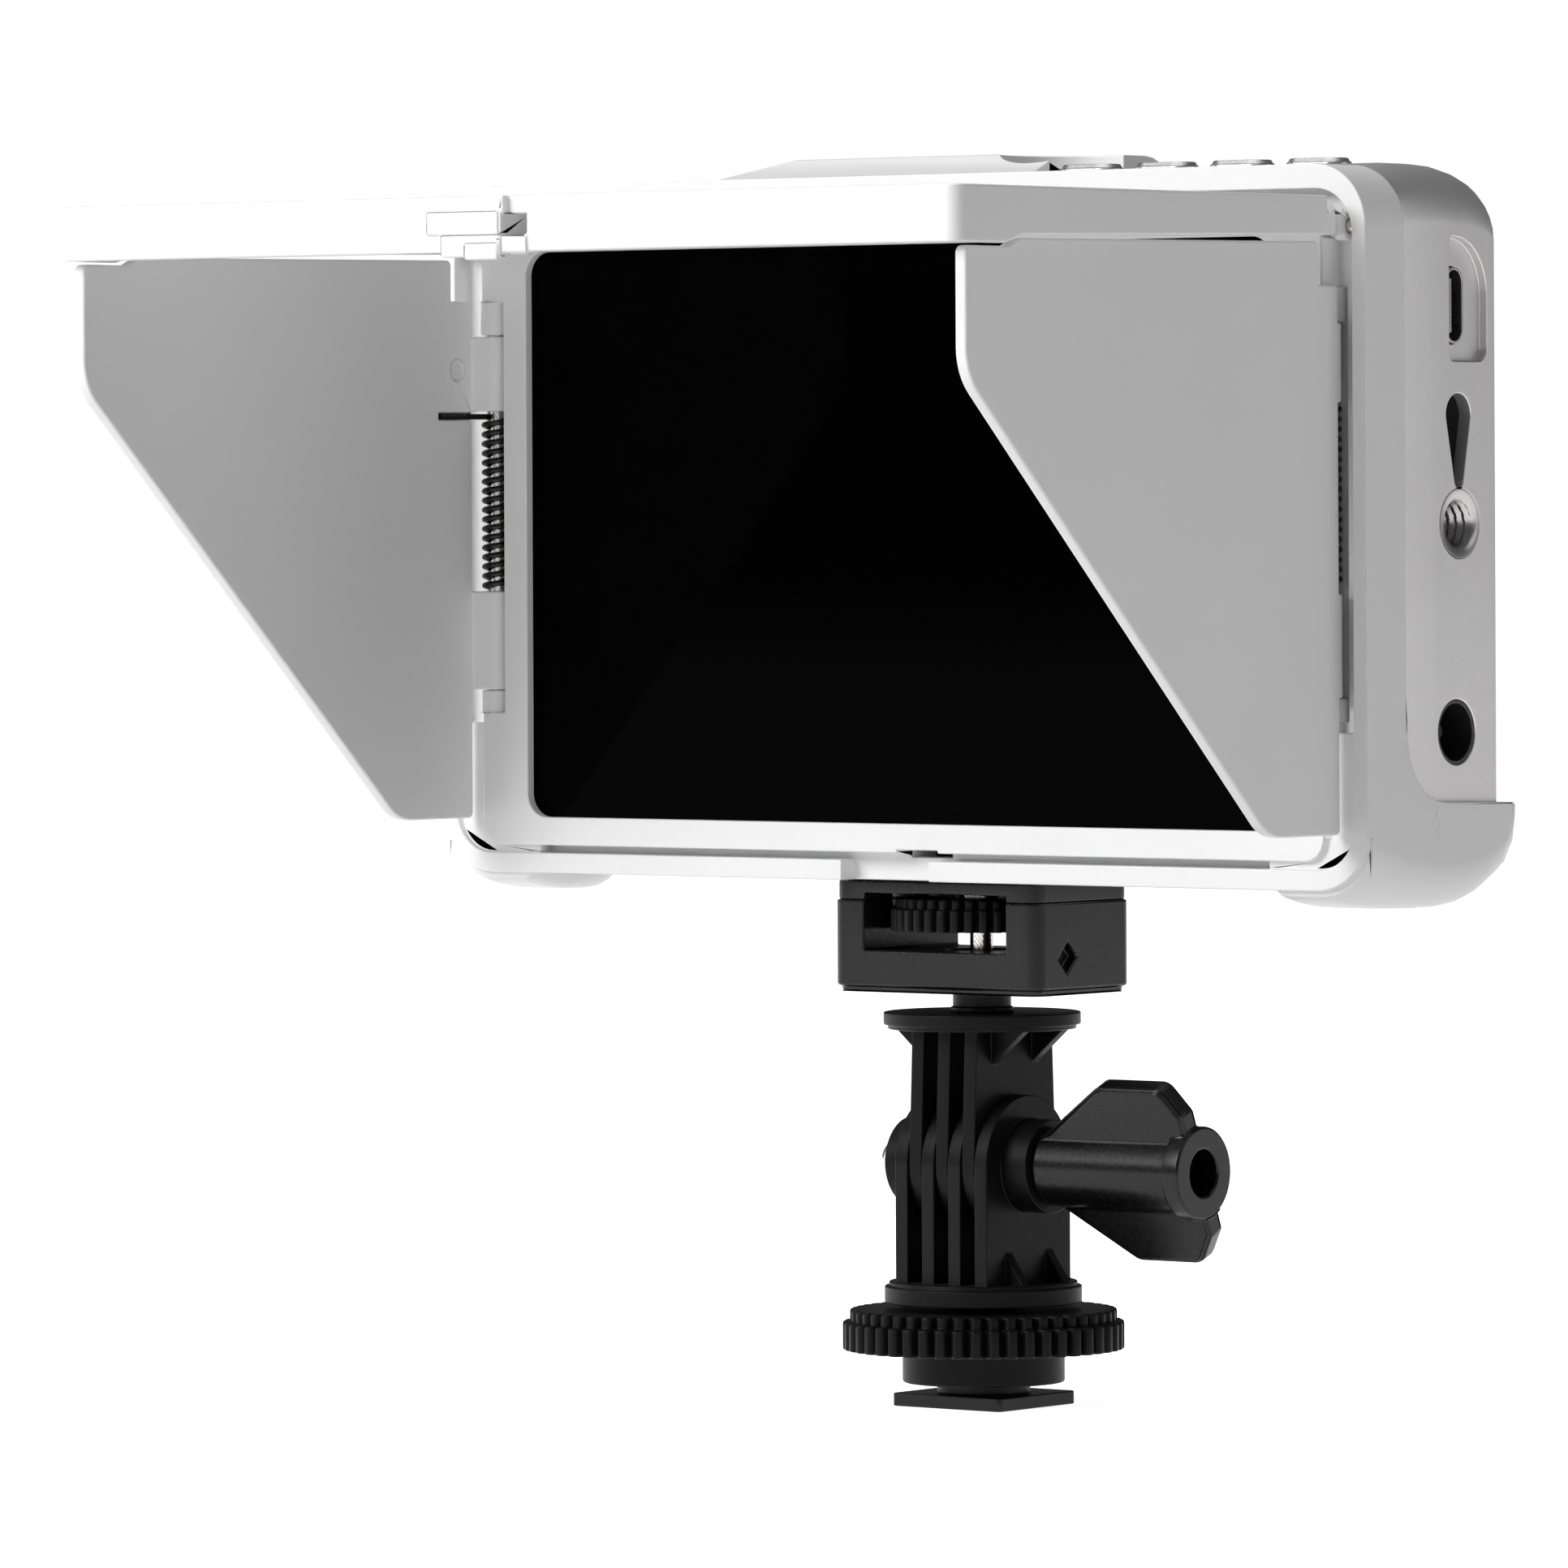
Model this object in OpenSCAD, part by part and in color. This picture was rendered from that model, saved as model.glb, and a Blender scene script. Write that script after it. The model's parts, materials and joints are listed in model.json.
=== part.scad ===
// Camera field monitor with a folding sun hood on a tilting shoe mount.
// Millimetres. +Z up, the screen faces -Y, origin under the middle of the shoe foot.

/* [Shoe mount] */
// Width of the shoe foot, across the shoe
foot_w = 18.5; // [16:0.5:18.6]
// Depth of the shoe foot, along the shoe
foot_d = 17.5; // [16:0.5:18.5]
// Thickness of the shoe foot
foot_h = 1.8; // [1.5:0.1:2]
// Radius of the neck between the shoe rails
neck_r = 6.4; // [5:0.1:7]
// Height of the neck
neck_h = 1.3; // [1:0.1:2.5]
// Radius of the threaded post
post_r = 3; // [2.5:0.1:4]
// Radius of the hub under the lock wheel
hub_r = 11.1; // [9:0.1:14]
// Height of the hub
hub_h = 4.5; // [3:0.1:7]
// Radius of the lock wheel over its ribs
wheel_r = 19.3; // [16:0.1:24]
// Thickness of the lock wheel
wheel_h = 5.5; // [4:0.1:8]
// Number of grooves round the lock wheel
wheel_grooves = 48; // [24:1:60]

/* [Tilt joint] */
// Radius of the disks above and below the prongs
disk_r = 13.5; // [12:0.1:16]
// Thickness of the lower disk
low_disk_h = 2.9; // [2:0.1:4]
// Thickness of the upper disk
top_disk_h = 2.3; // [2:0.1:4]
// Thickness of one prong
prong_t = 2.1; // [1.8:0.05:2.4]
// Distance from a prong to the next one of the same part
prong_pitch = 4.5; // [4.3:0.05:5.2]
// Depth of the lower prongs
prong_d = 19.2; // [16:0.2:22]
// Height of the axle above the lower disk
axle_rise = 16; // [14:0.5:20]
// Height of the upper disk above the axle
upper_rise = 18.5; // [16:0.5:24]
// Radius of the axle bolt
bolt_r = 2.45; // [2:0.05:3]
// Radius of the boss that holds the nut
boss_r = 6.1; // [5.6:0.1:7.5]
// Length of the boss that holds the nut
boss_len = 4.5; // [4:0.1:7]
// Radius of the domed end of the nut
dome_r = 3.3; // [2.9:0.1:4]
// Length of the wing knob
knob_len = 25; // [20:0.5:34]
// Radius of the knob's round body
knob_r = 5.4; // [4.8:0.1:6]
// Reach of the knob's wings from its axis
wing_reach = 12.9; // [10:0.1:15]
// Thickness of the wings
wing_t = 3.6; // [2.5:0.1:5]

/* [Swivel block] */
// Gap under the block that shows the swivel neck
stem_h = 2.8; // [2:0.1:5]
// Radius of the swivel neck
stem_r = 4; // [3.5:0.1:5]
// Width of the block
block_w = 35.1; // [32:0.1:44]
// Depth of the block
block_d = 21.8; // [20:0.1:23.6]
// Height of the block up to its cap
block_h = 12.6; // [12.2:0.1:16]
// Height of the block's cap
cap_h = 2.6; // [2.2:0.1:4]
// Thickness of the rubber pad
pad_h = 0.8; // [0.5:0.1:1.5]
// Width of the window that shows the thumbwheel
block_win_w = 24.2; // [20:0.2:25]
// Radius of the thumbwheel over its ribs
thumb_r = 12.5; // [12.2:0.1:13]
// Thickness of the thumbwheel
thumb_h = 4.4; // [3.5:0.1:5]
// Number of grooves round the thumbwheel
thumb_grooves = 38; // [24:1:44]
// Radius of the camera screw
screw_r = 3.12; // [2.4:0.01:3.15]
// Length of screw that stands above the pad
screw_out = 5.5; // [4:0.1:6]

/* [Monitor] */
// Width of the monitor
mon_w = 156; // [150:1:170]
// Height of the monitor
mon_h = 95.6; // [92:0.2:110]
// Depth of the silver shell
mon_d = 22.1; // [20:0.1:28]
// Radius of the monitor's corners seen from the front
mon_r = 8; // [6:0.5:10]
// Wall of the silver shell
shell_wall = 2; // [1.6:0.1:2.6]
// Thickness of the cover glass
glass_t = 1; // [0.7:0.1:1.2]
// Black border of the glass at each side of the picture
picture_border = 2.6; // [1:0.1:8]
// Black border of the glass above and below the picture
picture_border_h = 4.95; // [2:0.05:9]
// Radius of the threaded holes for a camera screw
thread_r = 3.2; // [3.18:0.01:3.3]
// Radius of the power jack's opening
jack_r = 4; // [3:0.1:4.2]
// Distance from one button to the next
button_pitch = 12.5; // [11.5:0.1:13]
// Length of a button
button_w = 9.6; // [7:0.1:10]
// How far a button can be pressed
button_travel = 0.5; // [0.3:0.1:0.8]

/* [Battery plate] */
// Width between the battery rails
rail_gap = 31; // [28:0.5:34]
// Height of the battery plate
bat_h = 62; // [55:1:64]
// Depth of the rails behind the shell
rail_d = 4.5; // [4:0.1:6]
// How far the battery latch slides
latch_travel = 3; // [2:0.1:4]

/* [Hood frame] */
// How far the hood's frame stands out past each side of the monitor
frame_over = 0.5; // [0.4:0.1:1]
// Depth of the hood's frame
frame_d = 9.1; // [8.8:0.1:9.6]
// Width of the frame at each side of the screen window
border_side = 15; // [14.5:0.5:18]
// Height of the frame below the screen window
border_low = 7.75; // [7.5:0.05:10]
// Height of the frame above the screen window
border_high = 9.35; // [9:0.05:12]
// Width of the frame's outer lip
lip_w = 2.2; // [1.8:0.1:2.6]
// Width of the groove inside the lip
groove_w = 4.9; // [4.5:0.1:5.2]
// Depth of the groove
groove_d = 3.4; // [3:0.1:3.8]
// Thickness of the rim round the screen
rim_t = 1.5; // [1.2:0.1:1.8]
// Width of a claw that holds the monitor's lower corner
claw_w = 17; // [12:0.5:22]
// Width of the clip over the monitor's top
clip_w = 55; // [40:1:60]

/* [Hood panels] */
// Length of the top panel
top_len = 83.6; // [70:0.2:84]
// Thickness of the top panel and its skirts
top_t = 2; // [1.6:0.1:2.4]
// Height of the top panel's front skirt
skirt_h = 7.3; // [6:0.1:7.4]
// Length of a side flap
flap_len = 81; // [66:0.5:81.4]
// Thickness of a side flap
flap_t = 1.8; // [1.5:0.1:1.9]
// Radius of the hinge barrels
barrel_r = 2.3; // [2.2:0.05:2.35]
// Radius of the hinge rods
rod_r = 1; // [0.8:0.05:1.1]
// Radius of the spring wire
wire_r = 0.4; // [0.3:0.05:0.42]
// Number of curls in a hinge spring
spring_curls = 18; // [12:1:18]

/* [Hidden] */
$fn = 48;

// Fits
run_gap = 0.06;
snug = 0.03;
slip = 0.1;
face_gap = 0.1;
cut = 1;

// Levels of the mount, from the foot up
hub_z = foot_h + neck_h + face_gap;
wheel_z = hub_z + hub_h;
wheel_top = wheel_z + wheel_h;
wheel_step_h = 3.8;
wheel_step = 1.0;
clip_h = 0.9;
clevis_z = wheel_top + clip_h;
low_disk_top = clevis_z + low_disk_h;
axle_z = low_disk_top + axle_rise;
top_disk_z = axle_z + upper_rise;
stem_z = top_disk_z + top_disk_h;
block_z = stem_z + stem_h;
cap_z = block_z + block_h;
pad_z = cap_z + cap_h;
mon_z = pad_z + pad_h;

// Lower prongs stand either side of the three upper ones
low_prongs = [-1.5, -0.5, 0.5, 1.5] * prong_pitch;
top_prongs = [-1, 0, 1] * prong_pitch;
clevis_half = 1.5 * prong_pitch + prong_t / 2;
top_prong_d = prong_d - 0.4;
top_prong_taper = 0.8;
gusset_h = 5;
gusset_t = 1.6;
bolt_bore = bolt_r + run_gap;
nut_flats = 8;
nut_h = 3.2;
nut_x = -clevis_half - boss_len;
collar_r = 6.4;
collar_x = clevis_half + 4.2;
knob_x = collar_x + 0.3;
knob_end = knob_x + knob_len;
knob_hub_r = 6.3;
knob_hub_len = 2.8;
knob_hole_r = 3.15;
knob_hole_len = 7;
bolt_end = nut_x - 2;
wing_lean = 22;

// Swivel and block
stem_bore = 3;
stem_ring_r = 4.3;
stem_ring_h = 0.7;
stem_thread_r = 1.5;
floor_h = 5.7;
head_seat_h = 3.4;
head_r = 4.4;
head_h = 1.8;
thumb_room = 0.4;
thumb_z = block_z + floor_h + 2.7;
thumb_step = 0.7;
thumb_step_h = 3;
window_top = thumb_z + thumb_h + 0.7;
pivot_r = 1.6;
corner_screw_x = block_w / 2 - 2.6;
corner_screw_y = block_d / 2 - 2.6;
corner_screw_r = 1;
corner_head_r = 1.9;
corner_head_h = 1;

// Monitor: planes along Y and centre of its front face
mon_front = -11;
mon_back = mon_front + mon_d;
mon_mid_z = mon_z + mon_h / 2;
mon_side = mon_w / 2;
mon_top = mon_z + mon_h;
back_round_y = 10.4;
back_round_z = 3.3;
side_round = 1.1;
front_draft = 0.8;
front_draft_d = 5.7;
fit_gap = 0.1;

// Hood frame: planes along Y, the front lip and what lies behind it
frame_back = mon_front - 0.3;
frame_front = frame_back - frame_d;
frame_w = mon_w + 2 * frame_over;
frame_h = mon_h - 0.1;
frame_mid_z = mon_z - 0.35 + frame_h / 2;
frame_side = frame_w / 2;
frame_bottom = frame_mid_z - frame_h / 2;
frame_top = frame_mid_z + frame_h / 2;
groove_floor = frame_front + groove_d;
lip_side = frame_side - lip_w;
lip_r = 5.8;
lip_bottom = frame_bottom + 2.75;
lip_top = frame_top - 3.25;
rim_side = lip_side - groove_w;
rim_bottom = lip_bottom + 1.1;
rim_top = lip_top - 3.5;
window_w = frame_w - 2 * border_side;
window_h = frame_h - border_low - border_high;
window_mid_z = frame_bottom + border_low + window_h / 2;
room_side = rim_side - 4.6;
room_bottom = rim_bottom + 1.1;
room_top = rim_top - 0.4;
room_front = frame_front + rim_t;

// Screen stack, from the glass back
glass_y = room_front + fit_gap;
bezel_y = glass_y + glass_t;
bezel_side = room_side - 0.2;
bezel_bottom = room_bottom + 0.2;
bezel_top = room_top - 0.2;
bezel_wall = 1.4;
bezel_face = 1.3;
flange_t = 2;
panel_t = 2.2;
light_t = 2.2;
plate_t = 1;
lcd_y = bezel_y + bezel_face + face_gap;
light_y = lcd_y + panel_t + face_gap;
plate_y = light_y + light_t + face_gap;
screen_mid_z = window_mid_z;
picture_w = window_w - 2 * picture_border;
picture_h = window_h - 2 * picture_border_h;
cell_w = picture_w + 4;
cell_h = picture_h + 6;

// Inside of the shell
inner_side = mon_side - shell_wall;
inner_top = mon_top - shell_wall;
inner_bottom = mon_z + shell_wall;
inner_back = mon_back - 2.5;
board_t = 1.6;
board_back = 0.2;
board_front = board_back - board_t;
board_top = mon_top - 18;
board_bottom = inner_bottom + 3;
board_side = inner_side - 1.5;
post_x = mon_side - 18;
post_low_z = board_bottom + 6;
post_high_z = board_top - 6;
post_out_r = 3;

// Ports on the right side
port_y = 2;
usb_z = mon_top - 18.9;
usb_w = 4.2;
usb_h = 10.2;
slot_top_z = mon_top - 33.4;
insert_z = mon_top - 47.8;
jack_z = mon_z + 20.2;
jack_y = 1.1;
insert_r = 4.6;
insert_len = 8;
insert_chamfer = 0.6;
// Ports on the left side
hdmi_z = mon_top - 37;
hdmi_w = 5.8;
hdmi_h = 15.2;
phone_z = mon_z + 20;
phone_r = 1.8;

// Buttons on the top edge
button_x = mon_side - 56.5;
button_y = -3;
button_d = 5;
button_out = 0.9;
button_gap = 0.12;
button_flange = 0.9;
button_flange_h = 1.2;
button_bottom = inner_top - face_gap - button_flange_h;
switch_top = button_bottom - button_travel - 0.05;
switch_board_t = 1.6;
switch_h = 2.6;
switch_board_z = switch_top - switch_h - switch_board_t;
switch_board_end = 5.4;
switch_post_y = button_y + 5.4;
switch_board_d = 10.6;

// Battery plate on the back
bat_mid_z = mon_mid_z + 2.2;
bat_low_z = bat_mid_z - bat_h / 2;
bat_plate_t = 1.6;
bat_wall = 3.5;
bat_side = rail_gap / 2 + bat_wall;
rail_lip = 2;
rail_lip_t = 1.5;
plate_back = mon_back + bat_plate_t;
rail_back = mon_back + rail_d;
latch_w = 9;
latch_h = 6;
latch_z = bat_low_z + 5;

// Claws and clip of the hood frame
claw_side = mon_side + 1;
claw_in = claw_side - claw_w;
claw_bottom = frame_bottom - 2.75;
claw_back = mon_back + 3.7;
claw_top = claw_bottom + 13.7;
claw_high = claw_bottom + 23.5;
claw_round_y = 14;
claw_round_z = 9;
clip_top = frame_top + 2.75;
clip_right = button_x + 1.4;
clip_left = clip_right - clip_w;
clip_back = mon_back + 3.4;
scoop_r = 9;
scoop_gap = 0.6;

// Hinges of the side flaps
hinge_x = room_side + 3.6;
hinge_y = frame_front + 2.2;
pocket_in = hinge_x - 2.8;
pocket_out = hinge_x + 2.8;
pocket_y = hinge_y + 2.4;
pocket_low = frame_bottom + 22.15;
knuckle_h = 3.1;
low_barrel_h = 13.7;
top_barrel_h = 10.4;
top_knuckle_h = 4.6;
pocket_high = frame_top - 16.15;
top_knuckle_z = pocket_high - top_knuckle_h;
low_barrel_z = pocket_low + knuckle_h + face_gap;
top_barrel_z = top_knuckle_z - 0.2 - top_barrel_h;
spring_low = low_barrel_z + low_barrel_h + 0.2;
spring_high = top_barrel_z - 0.3;
rod_low = pocket_low - 1.4;
rod_high = pocket_high - 0.2;
rod_bore = rod_r + run_gap;

// Side flaps: the plate stands just outside the hinge axis
flap_in = hinge_x + 2.4;
flap_out = flap_in + flap_t;
flap_back = frame_front - 0.5;
flap_front = flap_back - flap_len;
flap_bottom = frame_bottom + 7.45;
flap_top = frame_top - 10.35;
flap_step = 1.05;
flap_low_run = 16.1;
flap_high_run = 17.9;
leg_x = flap_in + wire_r + 0.05;
leg_end = flap_back - 6.6;
spring_r = barrel_r - wire_r;
leg_z = spring_high - wire_r;
mark_y = flap_back - 3.1;
mark_z = pocket_high - 9.5;
mark_r = 1.5;
mark_d = 0.35;

// Top panel: the ears of its side skirts turn on pins in the frame's groove
pivot_y = frame_front + 1.3;
pivot_z = frame_top - 8.25;
pin_r = 0.9;
ear_r = 1.9;
top_back = flap_back;
top_front = top_back - top_len;
top_high = pivot_z + 3.9;
top_under = top_high - top_t;
top_side = lip_side - 1;
top_corner_r = lip_r - 0.6;
skirt_low = top_high - skirt_h;
latch_in = 1.2;
latch_hole_d = 5.4;
tongue_left = -8.35;
tongue_right = 1.7;
step_right = 5.9;

// Card with rounded corners, centred
module card(w, h, r) {
    square([w - 2 * r, h], center = true);
    square([w, h - 2 * r], center = true);
    for (sx = [-1, 1], sy = [-1, 1])
        translate([sx * (w / 2 - r), sy * (h / 2 - r)]) circle(r);
}

// Slab between two planes along Y, drawn as seen from the front (X, Z)
module slab_y(y0, y1) {
    translate([0, y1, 0]) rotate([90, 0, 0]) linear_extrude(y1 - y0) children();
}

// Slab between two planes along X, drawn as seen from the right (Y, Z)
module slab_x(x0, x1) {
    translate([x0, 0, 0]) rotate([90, 0, 90]) linear_extrude(x1 - x0) children();
}

// Round bar along X, Y or Z
module bar_x(r, x0, x1, y, z) {
    translate([x0, y, z]) rotate([0, 90, 0]) cylinder(r = r, h = x1 - x0);
}

module bar_y(r, y0, y1, x, z) {
    translate([x, y0, z]) rotate([-90, 0, 0]) cylinder(r = r, h = y1 - y0);
}

module bar_z(r, z0, z1, x = 0, y = 0) {
    translate([x, y, z0]) cylinder(r = r, h = z1 - z0);
}

// Box from its lowest to its highest corner
module block(low, high) {
    translate(low) cube(high - low);
}

module both_sides() {
    children();
    mirror([1, 0, 0]) children();
}

// Arc that rounds the corner b between a and c with radius r
function arc_at(a, b, c, r, n) =
    let (
        u = (a - b) / norm(a - b),
        v = (c - b) / norm(c - b),
        half = acos(u * v) / 2,
        mid = b + (u + v) / norm(u + v) * r / sin(half),
        e = (b + u * r / tan(half) - mid) / r,
        f = (b + v * r / tan(half) - mid) / r,
        w = acos(e * f)
    )
    [for (k = [0 : n]) mid + r * (sin((1 - k / n) * w) * e + sin(k / n * w) * f) / sin(w)];

// Outline whose corners [x, y, radius] are rounded by arcs
function rounded(pts, n = 6) =
    let (m = len(pts))
    [for (i = [0 : m - 1])
        let (
            a = pts[(i + m - 1) % m],
            b = pts[i],
            c = pts[(i + 1) % m]
        )
        for (p = b[2] == 0 ? [[b[0], b[1]]]
            : arc_at([a[0], a[1]], [b[0], b[1]], [c[0], c[1]], b[2], n)) p];

// Shoe mount

module shoe_foot() color("dimgray") {
    linear_extrude(foot_h) card(foot_w, foot_d, 0.8);
    bar_z(neck_r, foot_h, foot_h + neck_h);
    bar_z(post_r, foot_h, low_disk_top - 0.5);
}

// Ribbed wheel in two tiers, the upper one a little smaller
module ribbed(r, r_top, h, h_step, grooves, groove_w, groove_d) {
    linear_extrude(h_step) difference() {
        circle(r, $fn = 96);
        for (i = [0 : grooves - 1])
            rotate(i * 360 / grooves) translate([r, 0])
                square([2 * groove_d, groove_w], center = true);
    }
    translate([0, 0, h_step]) linear_extrude(h - h_step) difference() {
        circle(r_top, $fn = 96);
        for (i = [0 : grooves - 1])
            rotate(i * 360 / grooves) translate([r_top, 0])
                square([groove_d, groove_w * 0.7], center = true);
    }
}

module lock_wheel() color("#1d1d1f") difference() {
    union() {
        bar_z(hub_r, hub_z, wheel_z);
        translate([0, 0, wheel_z])
            ribbed(wheel_r, wheel_r - wheel_step, wheel_h, wheel_step_h, wheel_grooves, 1.2, 0.8);
    }
    bar_z(post_r + run_gap, hub_z - cut, wheel_top + cut);
}

// Prong of the lower part, round about the axle
module low_prong() {
    slab_x(-prong_t / 2, prong_t / 2) {
        translate([-prong_d / 2, low_disk_top - cut]) square([prong_d, axle_rise + cut]);
        translate([0, axle_z]) circle(prong_d / 2, $fn = 96);
    }
}

// Pair of crossed ribs that stiffen a disk against the outer prong
module gusset(x, z, up) {
    for (s = [-1, 1])
        translate([x, s * 4.6, z]) rotate([90, 0, 0])
            translate([0, 0, -gusset_t / 2]) linear_extrude(gusset_t)
                polygon([[-0.5, 0], [disk_r - x - 2.6, 0], [-0.5, up * gusset_h]]);
}

module lower_clevis() color("#1d1d1f") difference() {
    union() {
        bar_z(disk_r, clevis_z, low_disk_top - 0.6);
        bar_z(disk_r - 0.6, low_disk_top - 0.6, low_disk_top);
        bar_z(post_r + 2, clevis_z - clip_h + face_gap, clevis_z);
        for (x = low_prongs) translate([x, 0, 0]) low_prong();
        bar_x(boss_r, nut_x, -clevis_half + 0.5, 0, axle_z);
        bar_x(collar_r, clevis_half - 0.5, collar_x, 0, axle_z);
        both_sides() gusset(clevis_half, low_disk_top, 1);
    }
    bar_x(bolt_bore, nut_x - cut, collar_x + cut, 0, axle_z);
    translate([nut_x - cut, 0, axle_z]) rotate([0, 90, 0])
        cylinder(r = (nut_flats / 2 + snug) / cos(30), h = nut_h + cut, $fn = 6);
    bar_z(post_r + snug, clevis_z - cut, low_disk_top - 0.5 + face_gap);
}

module axle_nut() color("silver") difference() {
    union() {
        translate([nut_x, 0, axle_z]) rotate([0, 90, 0])
            cylinder(r = nut_flats / 2 / cos(30), h = nut_h - snug, $fn = 6);
        bar_x(dome_r, nut_x - 1, nut_x + 0.5, 0, axle_z);
        translate([nut_x - 1, 0, axle_z]) intersection() {
            sphere(dome_r);
            rotate([0, -90, 0]) cylinder(r = dome_r, h = dome_r);
        }
    }
    bar_x(bolt_bore, bolt_end - 0.1, nut_x + nut_h + cut, 0, axle_z);
}

module axle_bolt() color("silver")
    bar_x(bolt_r, bolt_end, knob_end - knob_hole_len, 0, axle_z);

// Flat wing outline: [distance along the knob, distance from its axis]
module wing() {
    polygon(rounded([
        [0.2, knob_r - 1.2, 0], [0.2, knob_r - 0.4, 0],
        [knob_len - 13.4, wing_reach, 2], [knob_len - 3, wing_reach, 1.6],
        [knob_len - 0.4, wing_reach - 4, 1], [knob_len - 0.4, 3.6, 0], [knob_len - 8, 3.6, 0]
    ]));
}

module wing_knob() color("#151517") difference() {
    union() {
        bar_x(knob_r, knob_x, knob_end - 0.5, 0, axle_z);
        bar_x(knob_hub_r, knob_end - knob_hub_len, knob_end, 0, axle_z);
        for (s = [1, -1])
            translate([knob_x, 0, axle_z]) rotate([wing_lean + (s < 0 ? 180 : 0), 0, 0]) {
                translate([0, wing_t / 2 - 0.5, 0]) rotate([90, 0, 0])
                    linear_extrude(wing_t - 1) wing();
                translate([0.4, wing_t / 2, 0]) rotate([90, 0, 0])
                    linear_extrude(wing_t) scale([0.968, 0.968]) wing();
            }
    }
    bar_x(bolt_r + snug, knob_x - cut, knob_end - knob_hole_len + 0.05, 0, axle_z);
    bar_x(knob_hole_r, knob_end - knob_hole_len, knob_end + cut, 0, axle_z);
}

// Prong of the upper part, a little narrower towards its disk
module top_prong() {
    slab_x(-prong_t / 2, prong_t / 2) {
        translate([0, axle_z]) circle(top_prong_d / 2, $fn = 96);
        polygon([
            [-top_prong_d / 2, axle_z], [top_prong_d / 2, axle_z],
            [top_prong_d / 2 - top_prong_taper, top_disk_z + 0.5],
            [-top_prong_d / 2 + top_prong_taper, top_disk_z + 0.5]
        ]);
    }
}

module upper_clevis() color("#1d1d1f") difference() {
    union() {
        for (x = top_prongs) translate([x, 0, 0]) top_prong();
        bar_z(disk_r - 0.6, top_disk_z, top_disk_z + 0.6);
        bar_z(disk_r, top_disk_z + 0.6, stem_z);
        both_sides() gusset(prong_pitch + prong_t / 2, top_disk_z, -1);
    }
    bar_x(bolt_bore, -clevis_half, clevis_half, 0, axle_z);
    bar_z(stem_thread_r + 1 + snug, top_disk_z, stem_z + cut);
}

// Swivel block

module swivel_stem() color("#3a3a3c") difference() {
    union() {
        bar_z(stem_thread_r + 1, top_disk_z + face_gap, stem_z);
        bar_z(stem_ring_r, stem_z, stem_z + stem_ring_h);
        bar_z(stem_r, stem_z + stem_ring_h - 0.1, block_z - face_gap);
        bar_z(stem_bore, block_z - face_gap - 0.1, block_z + head_seat_h + 0.1);
    }
    bar_z(stem_thread_r + snug, top_disk_z + 1, block_z + head_seat_h + cut);
}

module swivel_screw() color("silver") {
    bar_z(head_r, block_z + head_seat_h + 0.15, block_z + head_seat_h + 0.15 + head_h);
    bar_z(stem_thread_r, top_disk_z + 1.2, block_z + head_seat_h + 0.2);
}

// Slot right through the block that shows the wheel, wider round the wheel
module block_hollow() {
    slab_y(-block_d, block_d)
        translate([-block_win_w / 2, block_z + floor_h])
            square([block_win_w, window_top - block_z - floor_h]);
    bar_z(thumb_r + thumb_room, thumb_z - thumb_room, window_top);
}

module corner_screw_holes(r, low, high) {
    for (sx = [-1, 1], sy = [-1, 1])
        bar_z(r, low, high, sx * corner_screw_x, sy * corner_screw_y);
}

module block_body() color("#151517") difference() {
    union() {
        translate([0, 0, block_z]) linear_extrude(0.8) card(block_w - 1.2, block_d - 1.2, 1.6);
        translate([0, 0, block_z + 0.8]) linear_extrude(block_h - 0.8) card(block_w, block_d, 2);
    }
    block_hollow();
    bar_z(stem_bore + run_gap, block_z - cut, block_z + floor_h);
    bar_z(head_r + 0.3, block_z + head_seat_h, block_z + floor_h + cut);
    corner_screw_holes(corner_screw_r + snug, block_z - cut, cap_z + cut);
    corner_screw_holes(corner_head_r + snug, block_z - cut, block_z + corner_head_h);
    translate([block_w / 2, -3.9, block_z + 5.1]) rotate([45, 0, 0])
        cube([3, 3.2, 2.8], center = true);
}

module block_cap() color("#151517") difference() {
    translate([0, 0, cap_z]) linear_extrude(cap_h) card(block_w - 0.4, block_d - 0.4, 2);
    block_hollow();
    bar_z(screw_r + 0.3, cap_z, pad_z + cut);
    corner_screw_holes(corner_screw_r + snug, cap_z - cut, cap_z + 1.8);
}

module block_screws() color("silver") {
    corner_screw_holes(corner_screw_r, block_z + corner_head_h - 0.2, cap_z + 1.6);
    corner_screw_holes(corner_head_r, block_z + 0.1, block_z + corner_head_h - snug);
}

module rubber_pad() color("#222224") difference() {
    translate([0, 0, pad_z]) linear_extrude(pad_h) card(block_w - 2, block_d - 2, 2);
    bar_z(screw_r + 0.5, pad_z - cut, mon_z + cut);
}

module thumbwheel() color("#1d1d1f") difference() {
    translate([0, 0, thumb_z])
        ribbed(thumb_r, thumb_r - thumb_step, thumb_h, thumb_step_h, thumb_grooves, 1.1, 0.7);
    bar_z(screw_r + snug, thumb_z - cut, thumb_z + thumb_h + cut);
}

module mount_screw() color("silver") {
    bar_z(pivot_r, block_z + floor_h - 0.2, thumb_z + 0.1);
    bar_z(screw_r, thumb_z, mon_z + screw_out - 0.5);
    bar_z(screw_r - 0.5, mon_z + screw_out - 0.6, mon_z + screw_out);
}

// Monitor

// Outline of the monitor from the front, grown by g and brought in at its sides and its ends
module mon_outline(g = 0, side = 0, end = 0) {
    translate([0, mon_mid_z])
        card(mon_w + 2 * (g - side), mon_h + 2 * (g - end), mon_r + g);
}

// Depth at x of a quarter of an ellipse that starts to bend at start
function bend(x, start, run, depth) = depth * (1 - sqrt(1 - pow(max(0, min(1, (x - start) / run)), 2)));

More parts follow.
